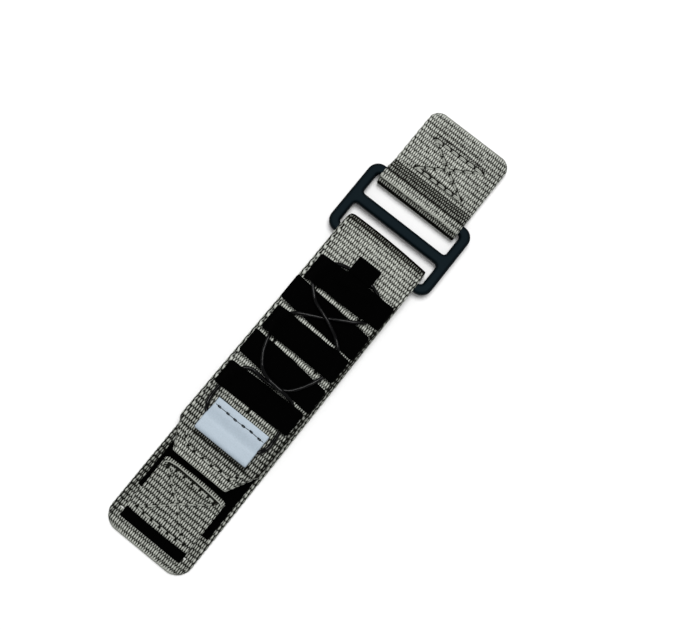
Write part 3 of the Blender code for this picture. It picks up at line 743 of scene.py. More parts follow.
def front_thinned_and_shaded(x, y, z):
    """Thinned floats, which also darken the colour: a painted shade below 42.5 mm, stronger from 25.5 mm, a
    painted shadow just below the reflective tab, a painted shade along the right edge and a little thinning
    along the left one.
    """
    place = (y - TAIL_Y) / MM
    out = x / MM - lean(y) / MM
    # Painted shade over the lower end, stronger round the reflective tab.
    shade = (0.06 + 0.1 * fade(place, 25.5, 1)) * fade(place, 42.5, -1.5)
    painted_tab_shadow = 0.28 * fade(place, 28.8, 1) + 0.12 * fade(place, 30.2, 0.2)
    painted_tab_shadow = fade(np.abs(x), 8.2 * MM, -0.4 * MM) * painted_tab_shadow
    # Painted shade along the right edge.
    right = 0.5 * fade(out, 11.1, 0.4) * fade(place, 86, -4)
    left = 0.12 * fade(-out, 11.1, 0.4)
    return np.maximum(shade + painted_tab_shadow * fade(place, PALE_FOOT + 1.2, -1.2), np.maximum(right, left))


def front_weave(across, along):
    """The strap's floats go on; its rows are pushed together where the free end is sewn."""
    place = (PEEL_Y - TAIL_Y) / MM - along
    level = ROW_LEVEL * (2 * QUARTER - across) * fade(place, 40, -6)
    return strap_weave(across, along + back_run + np.interp(place, *FRONT_SHIFTS) + level)


front_web = tape("main_webbing_front", [(PEEL_Y, top_z), (FRONT_END_Y, top_z)], WEB_HALF, WEB_THICK, nylon,
                 None, front_weave, ROW_STEP, FLOAT_STEP, RELIEF_DEPTH, middle=front_middle,
                 width_at=front_halves, rim=front_rim, noses=(False, True), thinning_and_shade=front_thinned_and_shaded,
                 presses=(pressed(seam_lines([front_holes]), 0.3 * MM, 0.2 * MM, top_z),
                          pitted(front_holes[1:-1], top_z),
                          pressed(seam_lines(notches), 0.24 * MM, PIT_DEPTH, top_z),
                          pressed(seam_lines(faint_notches), 0.2 * MM, 0.2 * MM, top_z)))
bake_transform(front_web)
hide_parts("front_webbing")

# %% [markdown]
# ## Pull tab
# A short piece of the same webbing is folded round the upper bar and sewn together with a box and a cross.
# The seam draws the weave down, so the same press that the front layer's seam uses runs along its lines.

# %% Weave the pull tab
TAB_RADIUS = 3.0 * MM        # of its rounded corners
TAB_DROP = 4.7 * MM          # length of the slope down to the sewn end
UPPER_SLACK = 0.95 * MM
CREST_PAST = 0.45 * MM       # upper bar's middle to where the upper ply starts to come down
TAB_CREASES = ((128.3, 0.42, 7.5), (126.8, 0.5, 9))    # mm from the rounded end, a share, and half a length
UPPER_PLY = 2.4 * MM         # a press from this height up leaves the lower ply alone


def soft_step(y_start, z_start, y_end, z_end, steps=30):
    """A soft S from one height to another."""
    share = np.linspace(0, 1, steps + 1)
    return list(zip(y_start + (y_end - y_start) * share,
                    z_start + (z_end - z_start) * share * share * (3 - 2 * share)))


tab_flat_z = 2 * WEB_THICK + 0.3 * MM - WEB_THICK / 2
crest_y = UPPER_BAR_Y + CREST_PAST
tab_path = [(tab_high.y, tab_flat_z)]
tab_path += soft_step(crest_y + TAB_DROP, tab_flat_z, crest_y, top_z)
tab_path += oval(UPPER_BAR_Y - UPPER_SLACK, BAR_Z, TURN_RADIUS, TURN_RADIUS, 90, 270)
tab_path.append((tab_high.y, WEB_THICK / 2))


def tab_halves(y, along, whole):
    """Half width of the pull tab, with rounded corners at both ends of its path."""
    return rounded_half(np.minimum(along, whole - along), WEB_HALF, TAB_RADIUS)


def tab_rim(x, along, whole):
    """Distance from the pull tab's cut outline."""
    return rounded_rim(x, np.minimum(along, whole - along), WEB_HALF, TAB_RADIUS)


def tab_thinned_and_shaded(x, y, z):
    """Thinned floats, which also darken the colour: painted shade on the tab's slope; under its crest and
    along two creases partly the weave opening and partly painted shade; and darker towards the right.
    """
    place = (y - TAIL_Y) / MM
    # Painted shade on the slope down to the sewn end.
    slope = 0.36 * fade(place, 109.9, 0.7) * fade(place, 115.0, -0.8)
    under = 0.25 * fade(place, 108.3, -0.3) + 0.6 * fade(place, 107.6, -0.25)
    bow = 0.25 * (1 - (x / WEB_HALF) ** 2)
    upper, lower = (share * np.exp(-((place - middle - bow) / 0.2) ** 2) * fade(side, reach * MM, -2 * MM)
                    for side, (middle, share, reach) in zip((x, np.abs(x)), TAB_CREASES))
    right = 0.13 * fade(x / MM, 5.5, 6)
    most = np.max([slope, under, upper + lower, right], axis=0)
    return np.where((z > 2.3 * MM) | (place < 107.3), most, 0.0)


pull_tab = tape("folded_pull_tab", tab_path, WEB_HALF, WEB_THICK, nylon, "pull_tab", brick_weave, ROW_STEP,
                FLOAT_STEP, RELIEF_DEPTH, width_at=tab_halves, rim=tab_rim, thinning_and_shade=tab_thinned_and_shaded,
                presses=(pressed(tab_row_lines, 0.56 * MM, 0.5 * MM, UPPER_PLY, power=4),
                         pressed(tab_cross_lines, 0.34 * MM, 0.42 * MM, UPPER_PLY, power=4),
                         pitted(tab_holes, UPPER_PLY),
                         pressed(tab_row_lines + tab_cross_lines, 0.4 * MM, 0.3 * MM, ALL_BELOW, UNDERSIDE)))
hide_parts("pull_tab")

# %% [markdown]
# ## End patch
# The patch near the rounded end is a lighter webbing, hemmed under at both ends. Its hems stand up as two
# ridges and the seams draw it down between them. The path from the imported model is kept: hem, ridge, flat,
# ridge, hem.

# %% Weave the end patch
PATCH_ROW = 1.42             # mm from row to row
PATCH_PHASE = 0.14           # mm, where its first row lies
PATCH_RELIEF = 0.2 * MM
PATCH_THICK = 0.7 * MM
PATCH_HEM = 2.7 * MM         # length of what is folded under
HEM_RADIUS = 0.45 * MM
patch_low, patch_high, patch_half = packed(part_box("end_patch"))[:3]
ply_z = patch_low.z + PATCH_THICK / 2
top_ply_z = patch_high.z - PATCH_THICK / 2
hem_z = (ply_z + top_ply_z) / 2
hem_top_y = patch_high.y - PATCH_THICK / 2 - HEM_RADIUS
hem_foot_y = patch_low.y + PATCH_THICK / 2 + HEM_RADIUS
patch_top = ply_z + 0.1 * MM

patch_path = [(patch_low.y + PATCH_HEM, ply_z)]
patch_path += oval(hem_foot_y, hem_z, HEM_RADIUS, HEM_RADIUS, 270, 90, 14)
patch_path += soft_step(hem_foot_y + 0.5 * MM, top_ply_z, hem_foot_y + 3.6 * MM, ply_z)
patch_path += soft_step(hem_top_y - 3.4 * MM, ply_z, hem_top_y - 0.5 * MM, top_ply_z)
patch_path += oval(hem_top_y, hem_z, HEM_RADIUS, HEM_RADIUS, 90, -90, 14)
patch_path.append((patch_high.y - PATCH_HEM, ply_z))


def patch_bow(x, y, z):
    """The seams draw the patch's rows and ends into shallow curves."""
    share = x / patch_half
    place = (y - TAIL_Y) / MM
    corner = np.clip(np.abs(share) * 10 - 9, 0, 1)
    top = fade(place, 18, 3) * (0.22 - 0.45 * share ** 2 - 0.3 * corner)
    foot = fade(place, 9, -2) * 0.2 * (share ** 2 - 1)
    rows = -0.45 * np.exp(-((place - 17.4) / 2.2) ** 2) * np.clip(1 - (1.4 * share) ** 2, 0, 1)
    return MM * (top + foot + rows)


patch = tape("hemmed_end_patch", patch_path, patch_half, PATCH_THICK, nylon, "back",
             lambda across, along: brick_weave(across, along + PATCH_PHASE, row=PATCH_ROW),
             PATCH_ROW * MM / 6, FLOAT_STEP, PATCH_RELIEF, bow=patch_bow,
             thinning_and_shade=lambda x, y, z: 0.16 + 0.1 * fade(y - TAIL_Y, 19.6 * MM, 0.5 * MM),
             presses=(pressed(patch_lines, 0.4 * MM, 0.2 * MM, patch_top),
                      pressed(seam_lines([hem_groove]), 0.16 * MM, PIT_DEPTH, patch_top),
                      pitted(patch_holes, patch_top)))
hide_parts("end_patch")

# %% [markdown]
# ## Loop tape
# The soft half of the hook-and-loop fastening is a knit whose loops stand up as a pile. Hair particles could
# draw every loop, but they are slow and the camera never sees them one by one. A lumpy relief with a very
# matt black nylon gives the same soft edge. The tape is let down a little so that it sits in the webbing.

# %% Knit the loop tape
SETTLE = 0.27 * MM           # tapes are let down into the weave below them
LOOP_WIDER = 0.18 * MM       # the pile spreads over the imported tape's edge
LOOP_LEFT = 0.1 * MM         # it lies this much further to the left


def pile(across, along):
    """Lumpy pile of a knitted loop tape."""
    height = 0.6 * soft_noise(across, along, 0.55, 3.0) + 0.4 * soft_noise(across, along, 0.27, 8.0)
    return height, soft_noise(across, along, 0.9, 5.0)


def plain(across, along):
    """A tape without relief."""
    return np.ones_like(across), np.full_like(across, 0.5)


def fabric_material(name, code, grain, roughness, strength, specular, distance=0.00005, spread=0.4):
    """Matt fabric in one colour with a fine grain of a size in mm."""
    made, tree, shader = start_material(name, roughness, Specular_IOR_Level=specular)
    place = object_place(tree)
    fuzz = add_noise(tree, place, 1 / (grain * MM), 3.0, 0.6)
    lumps = add_noise(tree, place, 0.12 / (grain * MM), 1.0)
    factor = multiply(tree, add_range(tree, fuzz, 1 - spread, 1 + spread),
                      add_range(tree, lumps, 1 - spread / 3, 1 + spread / 3))
    paint(tree, shader, factor, code)
    roughen(tree, shader, fuzz, strength, distance)
    return made


pile_black = fabric_material("knitted_black_nylon_loop_pile", "#010101", 0.16, 1.0, 0.8, 0.02)
loop_low, loop_high, loop_half, loop_middle = packed(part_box("loop_tape"))
loop_thick = loop_high.z - loop_low.z + SETTLE
loop_z = loop_high.z - loop_thick / 2
loop_tape = tape("knitted_loop_pile", [(loop_low.y, loop_z), (loop_high.y, loop_z)], loop_half + LOOP_WIDER,
                 loop_thick, pile_black, "back", pile, 0.28 * MM, 0.28 * MM, 0.16 * MM,
                 middle=loop_middle - LOOP_LEFT)
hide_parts("loop_tape")

# %% [markdown]
# ## Hook tape
# The stiff half is sewn under the front layer. Its hooks are modelled, because they show as soon as the
# front layer is peeled up: a few hundred small bent monofilaments in rows, all one mesh.

# %% Set the hooks
HOOK_BACKING = 0.62 * MM
HOOK_ROWS = 1.5 * MM
HOOK_COLUMNS = 1.25 * MM
HOOK_WIRE = 0.11 * MM
HOOK_SIDES = 5
HOOK_NARROW = 2.3 * MM       # how much narrower the tape is at the free end
HOOK_WIDEN = 4.2 * MM        # length in which it widens
HOOK_BEND = ((0, 0), (0.05, -0.45), (0.14, -0.8), (0.32, -1.0), (0.52, -0.88), (0.58, -0.62))   # out and up
TUBE_END = 0.35              # a tube's first and last ring are drawn in to this share
hook_low, hook_high, hook_half = packed(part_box("hook_tape"))[:3]
hook_top = hook_high.z + SETTLE


def hook_halves(y, along, whole):
    """Half width of the hook tape, which narrows towards the strap's free end."""
    return hook_half - HOOK_NARROW * np.clip(1 - (y - hook_low.y) / HOOK_WIDEN, 0, 1)


def ring_frame(points, closed):
    """Unit vectors across and above each point of a line."""
    if closed:
        ahead = np.roll(points, -1, 0) - np.roll(points, 1, 0)
    else:
        ahead = np.gradient(points, axis=0)
    ahead /= np.linalg.norm(ahead, axis=1)[:, None]
    side = np.cross(ahead, (0.0, 0.0, 1.0))
    length = np.linalg.norm(side, axis=1)[:, None]
    side = np.where(length > 1e-6, side / np.maximum(length, 1e-6), (1.0, 0.0, 0.0))
    return side, np.cross(side, ahead)


def tube_points(points, radius, sides, closed=False, relief=None):
    """Rings of points round a line; relief is a share of the radius for each ring and side."""
    side, above = ring_frame(points, closed)
    angle = 2 * math.pi * np.arange(sides) / sides
    reach = radius * (np.ones((len(points), sides)) if relief is None else relief)
    if not closed:
        reach[[0, -1]] *= TUBE_END
    turned = angle[None, :, None]
    around = side[:, None, :] * np.cos(turned) + above[:, None, :] * np.sin(turned)
    return points[:, None, :] + around * reach[:, :, None]


def tube_faces(rings, sides, base, closed=False):
    """Quads of a tube; an open tube is closed by its first and last rings."""
    last = rings if closed else rings - 1
    row, column = np.meshgrid(np.arange(last), np.arange(sides), indexing="ij")
    follow = (column + 1) % sides
    above = (row + 1) % rings
    quads = np.stack((row * sides + column, row * sides + follow, above * sides + follow,
                      above * sides + column), 2).reshape(-1, 4) + base
    faces = quads.tolist()
    if not closed:
        faces.append([base + k for k in reversed(range(sides))])
        faces.append([base + (rings - 1) * sides + k for k in range(sides)])
    return faces


def tubes(name, lines, radius, sides, finish, body):
    """Many open tubes as one piece."""
    points, faces = [], []
    for line in lines:
        faces += tube_faces(len(line), sides, sum(len(part) for part in points))
        points.append(tube_points(np.asarray(line), radius, sides).reshape(-1, 3))
    print(name, "lines", len(lines), "faces", len(faces))
    return add_piece(name, np.concatenate(points), faces, finish, body)


hook_black = fabric_material("black_nylon_hook_tape", "#0d0d0e", 0.3, 0.75, 0.3, 0.25)
backing_z = hook_top - HOOK_BACKING / 2
backing = tape("hook_tape_backing", [(hook_low.y, backing_z), (hook_high.y, backing_z)], hook_half,
               HOOK_BACKING, hook_black, "front", plain, 0.6 * MM, 0.6 * MM, 0, middle=lean,
               width_at=hook_halves)
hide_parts("hook_tape")

hook_lines = []
hook_root = backing_z - HOOK_BACKING / 2 + 0.1 * MM
hook_reach = hook_root - hook_low.z
for row, y in enumerate(np.arange(hook_low.y + HOOK_ROWS, hook_high.y - HOOK_ROWS / 2, HOOK_ROWS)):
    room = float(hook_halves(y, 0, 0)) - 1.2 * MM
    for x in np.arange(-room, room, HOOK_COLUMNS):
        turned = math.pi * random_share(x / HOOK_COLUMNS, row) + math.pi / 4
        hook_lines.append([(x + lean(y) + out * hook_reach * math.cos(turned),
                            y + out * hook_reach * math.sin(turned) * (1 if row % 2 else -1),
                            hook_root + up * hook_reach) for out, up in HOOK_BEND])
hooks = tubes("hook_tape_hooks", hook_lines, HOOK_WIRE, HOOK_SIDES, hook_black, "front")

# %% [markdown]
# ## Ladder bands and end strip
# Five black bands cross the front layer and the lace is woven through them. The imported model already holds
# their real shape, with a lift wherever the lace runs below. Rays cast down on it give that shape at any
# place, so the fine mesh here follows it, with softened edges and its foot let down onto the webbing. The
# tape is cut by hand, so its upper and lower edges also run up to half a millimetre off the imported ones.

# %% Lay the ladder bands
BAND_THICK = 0.6 * MM
BAND_RADIUS = 0.7 * MM
BAND_SOFTENING = 0.28 * MM
BAND_COLUMNS = 110
BAND_ROWS = 34
BAND_WAVE = 2.1              # mm, size of its soft waves
RAYS_INSIDE = (0.985, 0.97)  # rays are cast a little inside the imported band's outline
BAND_EDGES = {1: ((0.5, 0.2, 0.0, 0.1), (-0.4, 0.0, -0.2, -0.15)),     # mm, top and foot edge, left to right
              2: ((0.1, -0.1, 0.1, 0.1), (-0.3, -0.3, -0.25, -0.3)),
              3: ((0.35, 0.35, 0.3, 0.15), (0.25, 0.2, 0.2, 0.0)),
              4: ((0.2, 0.3, 0.35, 0.1), (0.0, 0.0, 0.0, -0.2)),
              5: ((-0.15, 0.0, 0.0, 0.0), (0.0, 0.0, 0.0, 0.0))}
tape_black = fabric_material("brushed_black_nylon_tape", "#010101", 0.12, 1.0, 0.5, 0.02)


def node_surface(node):
    """World points and a ray-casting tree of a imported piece."""
    source = bpy.data.objects[node]
    source.data.calc_loop_triangles()
    points = [source.matrix_world @ vertex.co for vertex in source.data.vertices]
    faces = [tuple(triangle.vertices) for triangle in source.data.loop_triangles]
    return np.array(points), BVHTree.FromPolygons(points, faces)


def height_below(tree, x, y, otherwise, side=1):
    """Height of the surface straight below a place, or straight above it for side -1."""
    hit = tree.ray_cast(Vector((x, y, float(side))), Vector((0, 0, -side)))[0]
    return hit.z if hit else otherwise


def soften(values, times):
    """Average a grid with its neighbours."""
    for _ in range(times):
        padded = np.pad(values, 1, mode="edge")
        values = (padded[1:-1, 1:-1] * 2 + padded[:-2, 1:-1] + padded[2:, 1:-1]
                  + padded[1:-1, :-2] + padded[1:-1, 2:]) / 6
    return values


def crowded(count):
    """Shares from 0 to 1 that crowd towards both ends."""
    share = np.linspace(0, 1, count + 1)
    return 0.35 * share + 0.65 * (1 - np.cos(math.pi * share)) / 2


def ladder_band(number):
    """One band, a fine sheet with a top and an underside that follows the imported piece."""
    node = f"ladder_band_{number}"
    points, tree = node_surface(node)
    low, high = points.min(0), points.max(0)
    ends = [points[np.abs(points[:, 0] - x) < 0.02 * MM][:, 1] for x in (low[0], high[0])]
    end_y = [(end.min() + end.max()) / 2 for end in ends]
    slant = (end_y[1] - end_y[0]) / (high[0] - low[0])
    tall = high[1] - low[1] - abs(end_y[1] - end_y[0])
    middle_x, middle_y = (low[0] + high[0]) / 2, (end_y[0] + end_y[1]) / 2
    across = 2 * crowded(BAND_COLUMNS) - 1
    up = crowded(BAND_ROWS)
    edge_y = tall * np.minimum(up, 1 - up)
    inside = np.clip(BAND_RADIUS - edge_y, 0, BAND_RADIUS)
    half = (high[0] - low[0]) / 2 - BAND_RADIUS + np.sqrt(BAND_RADIUS ** 2 - inside ** 2)
    x = half[:, None] * across[None, :]
    y = middle_y + tall * (up[:, None] - 0.5) + slant * x
    x = x + middle_x
    wave = soft_noise(x / MM, y / MM, BAND_WAVE, 4.0 + number) - 0.5
    from_middle = x - middle_x
    seen_x = middle_x + RAYS_INSIDE[0] * from_middle
    seen_y = middle_y + slant * from_middle + RAYS_INSIDE[1] * (y - middle_y - slant * from_middle)
    top = np.array([[height_below(tree, a, b, low[2] + BAND_THICK) for a, b in zip(*line)]
                    for line in zip(seen_x, seen_y)])
    top = soften(top, 3)
    lift = np.clip((top - low[2] - BAND_THICK) / BAND_THICK, 0, 1)
    foot = top - BAND_THICK - SETTLE * (1 - lift)
    from_edge = np.minimum(edge_y[:, None], half[:, None] - np.abs(x - middle_x))
    near = np.clip(BAND_SOFTENING - from_edge, 0, BAND_SOFTENING)
    top = top - (BAND_SOFTENING - np.sqrt(BAND_SOFTENING ** 2 - near ** 2)) + 0.05 * MM * wave
    y = y + 0.12 * MM * wave * (edge_y < BAND_SOFTENING)[:, None]
    past_top, past_foot = (np.interp(across, (-1, -0.5, 0, 1), edge) for edge in BAND_EDGES[number])
    y = y + MM * (past_top[None, :] * up[:, None] ** 3 + past_foot[None, :] * (1 - up[:, None]) ** 3)
    rows, columns = x.shape
    grid = np.arange(rows * columns).reshape(rows, columns)
    sheet = np.stack((grid[:-1, :-1], grid[:-1, 1:], grid[1:, 1:], grid[1:, :-1]), 2).reshape(-1, 4)
    rim = np.concatenate((grid[0, :-1], grid[:-1, -1], grid[-1, :0:-1], grid[:0:-1, 0]))
    after = np.roll(rim, -1)
    step = rows * columns
    wall = np.stack((rim, rim + step, after + step, after), 1)
    faces = np.concatenate((sheet, sheet[:, ::-1] + step, wall))
    both = np.concatenate([np.stack((x, y, level), 2).reshape(-1, 3) for level in (top, foot)])
    made = add_piece(f"brushed_tape_band_{number}", both, faces, tape_black, "front")
    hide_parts(node)


for number in range(1, 6):
    ladder_band(number)

strip_low, strip_high, strip_half = packed(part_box("end_strip"))[:3]
strip_thick = strip_high.z - strip_low.z + SETTLE
strip_z = strip_high.z - strip_thick / 2
strip = tape("brushed_tape_end_strip", [(strip_low.y, strip_z), (strip_high.y, strip_z)], strip_half,
             strip_thick, tape_black, "back", pile, 0.25 * MM, 0.25 * MM, 0.05 * MM)
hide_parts("end_strip")
print("bands and strip laid")

# %% [markdown]
# ## The two tabs that hold the lace
# The top tab is the same black tape, folded over the lace and tucked under the first band. The lower one is
# a pale retroreflective fabric: tiny glass beads on a coated cloth, so it has an even, cool grey and almost
# no weave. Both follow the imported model's paths.

# %% Fold the two tabs
TOP_SHOWN = 5.3 * MM         # length of the top tab above the first band
TOP_DROP_START = 0.8 * MM
TOP_DROP = 1.3 * MM
PALE_THICK = 0.4 * MM
PALE_RISE_START = 1.9 * MM
PALE_RISE = 4.0 * MM
PALE_UNDER = 5.8 * MM        # length of the lower ply
PALE_PAST = 0.17 * MM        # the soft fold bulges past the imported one

top_low, top_high, top_half, top_middle = packed(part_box("lace_top_tab"))
top_fold_radius = (top_high.z - top_low.z - BAND_THICK) / 2
top_fold_y = top_high.y - top_fold_radius - BAND_THICK / 2
top_lower_z = top_low.z + BAND_THICK / 2
top_over_z = top_high.z - BAND_THICK / 2
top_tucked_z = top_lower_z + BAND_THICK + 0.2 * MM
drop_y = top_high.y - TOP_SHOWN + TOP_DROP_START
top_path = [(top_low.y, top_lower_z)]
top_path += oval(top_fold_y, (top_lower_z + top_over_z) / 2, top_fold_radius, top_fold_radius, -90, 90)
top_path += soft_step(drop_y, top_over_z, drop_y - TOP_DROP, top_tucked_z)
top_path.append((top_low.y, top_tucked_z))
top_tab = tape("brushed_tape_lace_tab", top_path, top_half, BAND_THICK, tape_black, "front", pile,
               0.2 * MM, 0.2 * MM, 0.04 * MM, middle=top_middle)
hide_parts("lace_top_tab")

pale_low, pale_high, pale_half, pale_middle = packed(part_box("reflective_tab"))
pale_lower_z = pale_low.z + PALE_THICK / 2
pale_over_z = pale_high.z - PALE_THICK / 2
pale_radius = (pale_over_z - pale_lower_z) / 2
pale_fold_y = pale_low.y + pale_radius + PALE_THICK / 2 - PALE_PAST
rise_y = pale_high.y - PALE_RISE_START
pale_path = [(pale_high.y, pale_lower_z)]
pale_path += soft_step(rise_y, pale_lower_z, rise_y - PALE_RISE, pale_over_z)
pale_path += oval(pale_fold_y, (pale_lower_z + pale_over_z) / 2, pale_radius, pale_radius, 90, 270)
pale_path.append((pale_low.y + PALE_UNDER, pale_lower_z))
beaded = fabric_material("glass_beaded_reflective_fabric", "#a3b0bb", 0.35, 0.55, 0.1, 0.4, 0.00001, 0.06)
pale_tab = tape("beaded_reflective_tab", pale_path, pale_half, PALE_THICK, beaded, "reflective_tab", plain,
                0.25 * MM, 0.3 * MM, 0.04 * MM, middle=pale_middle,
                presses=(pressed(seam_lines([pale_holes]), 0.35 * MM, 0.12 * MM, 0),))
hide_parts("reflective_tab")

# %% [markdown]
# ## Elastic lace
# The lace is one closed loop. It is held by both tabs all the way, so its route is written down instead of
# simulated. It passes under the first, third and fifth bands and over the second and fourth, and crosses
# itself twice. A Catmull-Rom curve runs through the places, and the braided cover is modelled as two sets of
# ridges that wind in opposite directions.

# %% Thread the lace
LACE_RADIUS = 0.5 * MM
LACE_SIDES = 20
LACE_STEPS = 16              # points on the curve for each place of the route
LACE_STEP = 0.13 * MM
BRAID_RIDGES = 5
BRAID_PITCH = 2.6 * MM
BRAID_DEPTH = 0.025          # share of the radius
# Heights of its middle: under a band, on one, over the other strand and inside the lower tab, and those of
# both strands where they cross on the second band.
low, band, cross, held, over, dip = (height * MM for height in (5.9, 6.7, 7.92, 6.6, 7.42, 6.42))
lace_mid = (low + band) / 2
near_low = (low + lace_mid) / 2
near_band = (lace_mid + band) / 2
climb = (band + cross) / 2
rise = band + 0.6 * (over - band)
lace_route = (
    (-0.3, 32.4, held), (-4.0, 32.9, held), (-6.9, 34.4, held), (-8.3, 35.6, held), (-9.3, 37.0, near_low),
    (-9.75, 38.6, low), (-9.85, 40.3, low), (-9.75, 42.1, low), (-9.3, 44.5, low), (-8.7, 47.0, low),
    (-7.9, 49.0, low), (-6.2, 50.0, low), (-4.2, 50.0, near_low), (-1.2, 49.8, band), (0.9, 50.0, band),
    (3.0, 50.7, band), (4.5, 51.8, band), (6.1, 54.0, band), (7.5, 56.6, band), (8.2, 58.4, near_band),
    (8.4, 59.7, lace_mid), (8.4, 61.2, low), (8.1, 63.5, low), (7.8, 65.3, near_low),
    (7.4, 66.2, near_band), (6.6, 67.15, band), (5.1, 68.3, band), (2.9, 69.5, rise), (-0.1, 70.8, over),
    (-3.3, 71.9, rise), (-5.1, 72.9, band), (-6.5, 74.1, band), (-7.6, 75.25, band), (-8.2, 76.2, near_band),
    (-8.4, 77.4, lace_mid), (-8.3, 79.0, low), (-7.9, 81.0, low), (-7.1, 82.5, low), (-5.9, 83.35, near_low),
    (-4.5, 83.8, lace_mid), (-3.0, 84.05, band), (0.5, 84.5, band), (3.9, 84.05, band),
    (5.1, 83.75, lace_mid), (6.3, 83.3, near_low), (7.2, 82.4, low), (8.0, 81.0, low), (8.5, 79.0, low),
    (8.6, 77.4, low), (8.2, 76.1, near_low), (7.2, 75.2, near_band), (5.6, 74.0, band), (3.3, 72.7, band),
    (-0.1, 70.7, dip), (-3.4, 68.95, band), (-6.2, 67.45, band), (-7.5, 66.3, lace_mid),
    (-8.1, 65.1, near_low), (-8.4, 63.0, low), (-8.4, 60.8, near_low), (-8.2, 59.5, lace_mid),
    (-7.9, 58.3, band), (-6.9, 55.4, band), (-5.6, 53.3, band), (-4.6, 52.1, band),
    (-3.3, 51.2, climb), (-1.2, 50.55, cross),
    (0.9, 50.35, cross), (3.0, 50.25, cross), (4.6, 50.1, climb), (6.1, 49.8, band), (7.1, 49.1, near_band),
    (7.5, 48.1, lace_mid), (7.7, 46.6, low), (8.1, 44.4, low), (8.5, 42.2, low), (8.75, 40.5, low),
    (8.85, 38.7, low), (8.6, 37.1, near_low), (7.8, 35.8, held), (6.3, 34.5, held), (3.4, 33.0, held))


def closed_curve(route, steps):
    """Points of a closed Catmull-Rom curve."""
    corner = np.array([(x * MM, TAIL_Y + y * MM, z) for x, y, z in route])
    before, after, far = np.roll(corner, 1, 0), np.roll(corner, -1, 0), np.roll(corner, -2, 0)
    parts = []
    for t in np.arange(steps) / steps:
        parts.append(0.5 * (2 * corner + (after - before) * t
                            + (2 * before - 5 * corner + 4 * after - far) * t * t
                            + (3 * corner - before - 3 * after + far) * t ** 3))
    return np.stack(parts, 1).reshape(-1, 3)


def even_loop(points, step):
    """A closed line with equal steps."""
    whole = np.concatenate((points, points[:1]))
    run = np.concatenate(([0.0], np.cumsum(np.linalg.norm(np.diff(whole, axis=0), axis=1))))
    places = np.linspace(0, run[-1], round(run[-1] / step) + 1)[:-1]
    return np.stack([np.interp(places, run, whole[:, k]) for k in range(3)], 1), run[-1]


lace_points, lace_length = even_loop(closed_curve(lace_route, LACE_STEPS), LACE_STEP)
angle = 2 * math.pi * np.arange(LACE_SIDES) / LACE_SIDES
winds = round(lace_length / BRAID_PITCH)
phase = 2 * math.pi * winds * np.arange(len(lace_points)) / len(lace_points)
one = np.cos(BRAID_RIDGES * angle[None, :] - phase[:, None])
other = np.cos(BRAID_RIDGES * angle[None, :] + phase[:, None])
braid = np.maximum(one, other)
ringed = tube_points(lace_points, LACE_RADIUS, LACE_SIDES, True, 1 - BRAID_DEPTH + BRAID_DEPTH * braid)
cover, cover_tree, cover_shader = start_material("braided_elastic_lace_cover", 0.17, Specular_IOR_Level=0.12)
braid_mark = add_node(cover_tree, "ShaderNodeAttribute", attribute_name="relief")
# The braid's grooves are painted a shade darker than its ridges.
braid_shade_ramp = add_node(cover_tree, "ShaderNodeValToRGB", links={"Fac": braid_mark.outputs["Fac"]})
set_ramp(braid_shade_ramp, ((0.0, "#010101"), (1.0, "#020203")))
cover_tree.links.new(braid_shade_ramp.outputs["Color"], cover_shader.inputs["Base Color"])
lace = add_piece("braided_elastic_lace", ringed, tube_faces(len(lace_points), LACE_SIDES, 0, True), cover,
                 None, {"relief": (0.5 + 0.5 * braid).ravel()})
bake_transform(lace)
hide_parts("elastic_lace")
print("lace", round(lace_length / MM, 1), "mm,", len(lace.data.vertices), "points")

# %% [markdown]
# ## Sewing thread
# Each seam is a row of separate stitches, and each stitch is two plies twisted together. A texture of
# dashes would look flat here, because the thread is as thick as a float of the weave. The two plies dip
# into the cloth at both ends, where the seam has already drawn the weave down. The height of the cloth
# under every stitch is read by a ray.

# %% Sew the seams
PLY_SIDES = 7
PLY_STATIONS = 13
PLY_SHARE = 0.44             # a ply's radius, of the stitch's
PLY_APART = 0.52             # a ply's middle off the stitch's middle
PLY_DIP = 1.6                # how far a stitch dips at its ends, and rises from there, in radii
PLY_RISE = 2.0
PROBES = 9                   # heights read under each stitch
CORD_STEP = 0.25             # mm
CORD_SIDES = 9


def cloth_tree(piece):
    """Ray-casting tree of a finished piece."""
    points = [tuple(vertex.co) for vertex in piece.data.vertices]
    return BVHTree.FromPolygons(points, [tuple(face.vertices) for face in piece.data.polygons])


def stitch(tree, start, end, radius, side):
    """Two plies of one stitch between two places in mm; side -1 lies under the cloth."""
    a, b = np.array(strap_point(start)), np.array(strap_point(end))
    even = np.linspace(0, 1, PROBES)
    probe = [height_below(tree, *(a + (b - a) * share), 0.0, side) for share in even]
    fit = np.polyfit(even, probe, 1)
    lift = 0.7 * np.max(probe - np.polyval(fit, even)) if side > 0 else 0.0
    share = np.linspace(0, 1, PLY_STATIONS)
    ahead = np.append((b - a) / np.linalg.norm(b - a), 0.0)
    right = np.cross(ahead, (0, 0, 1))
    arch = np.sin(math.pi * share) ** 0.3
    line = np.append(a, 0)[None, :] + np.append(b - a, 0)[None, :] * share[:, None]
    line[:, 2] = np.polyval(fit, share) + lift + side * radius * (PLY_RISE * arch - PLY_DIP)
    plies = []
    for start_angle in (0, math.pi):
        turned = start_angle + share - 0.5
        offset = np.outer(np.cos(turned), right) + np.outer(np.sin(turned), (0.0, 0.0, 1.0))
        plies.append(line + PLY_APART * radius * offset)
    return plies


def part_way(start, end, share):
    """A place part of the way from one place to another."""
    return start[0] + (end[0] - start[0]) * share, start[1] + (end[1] - start[1]) * share


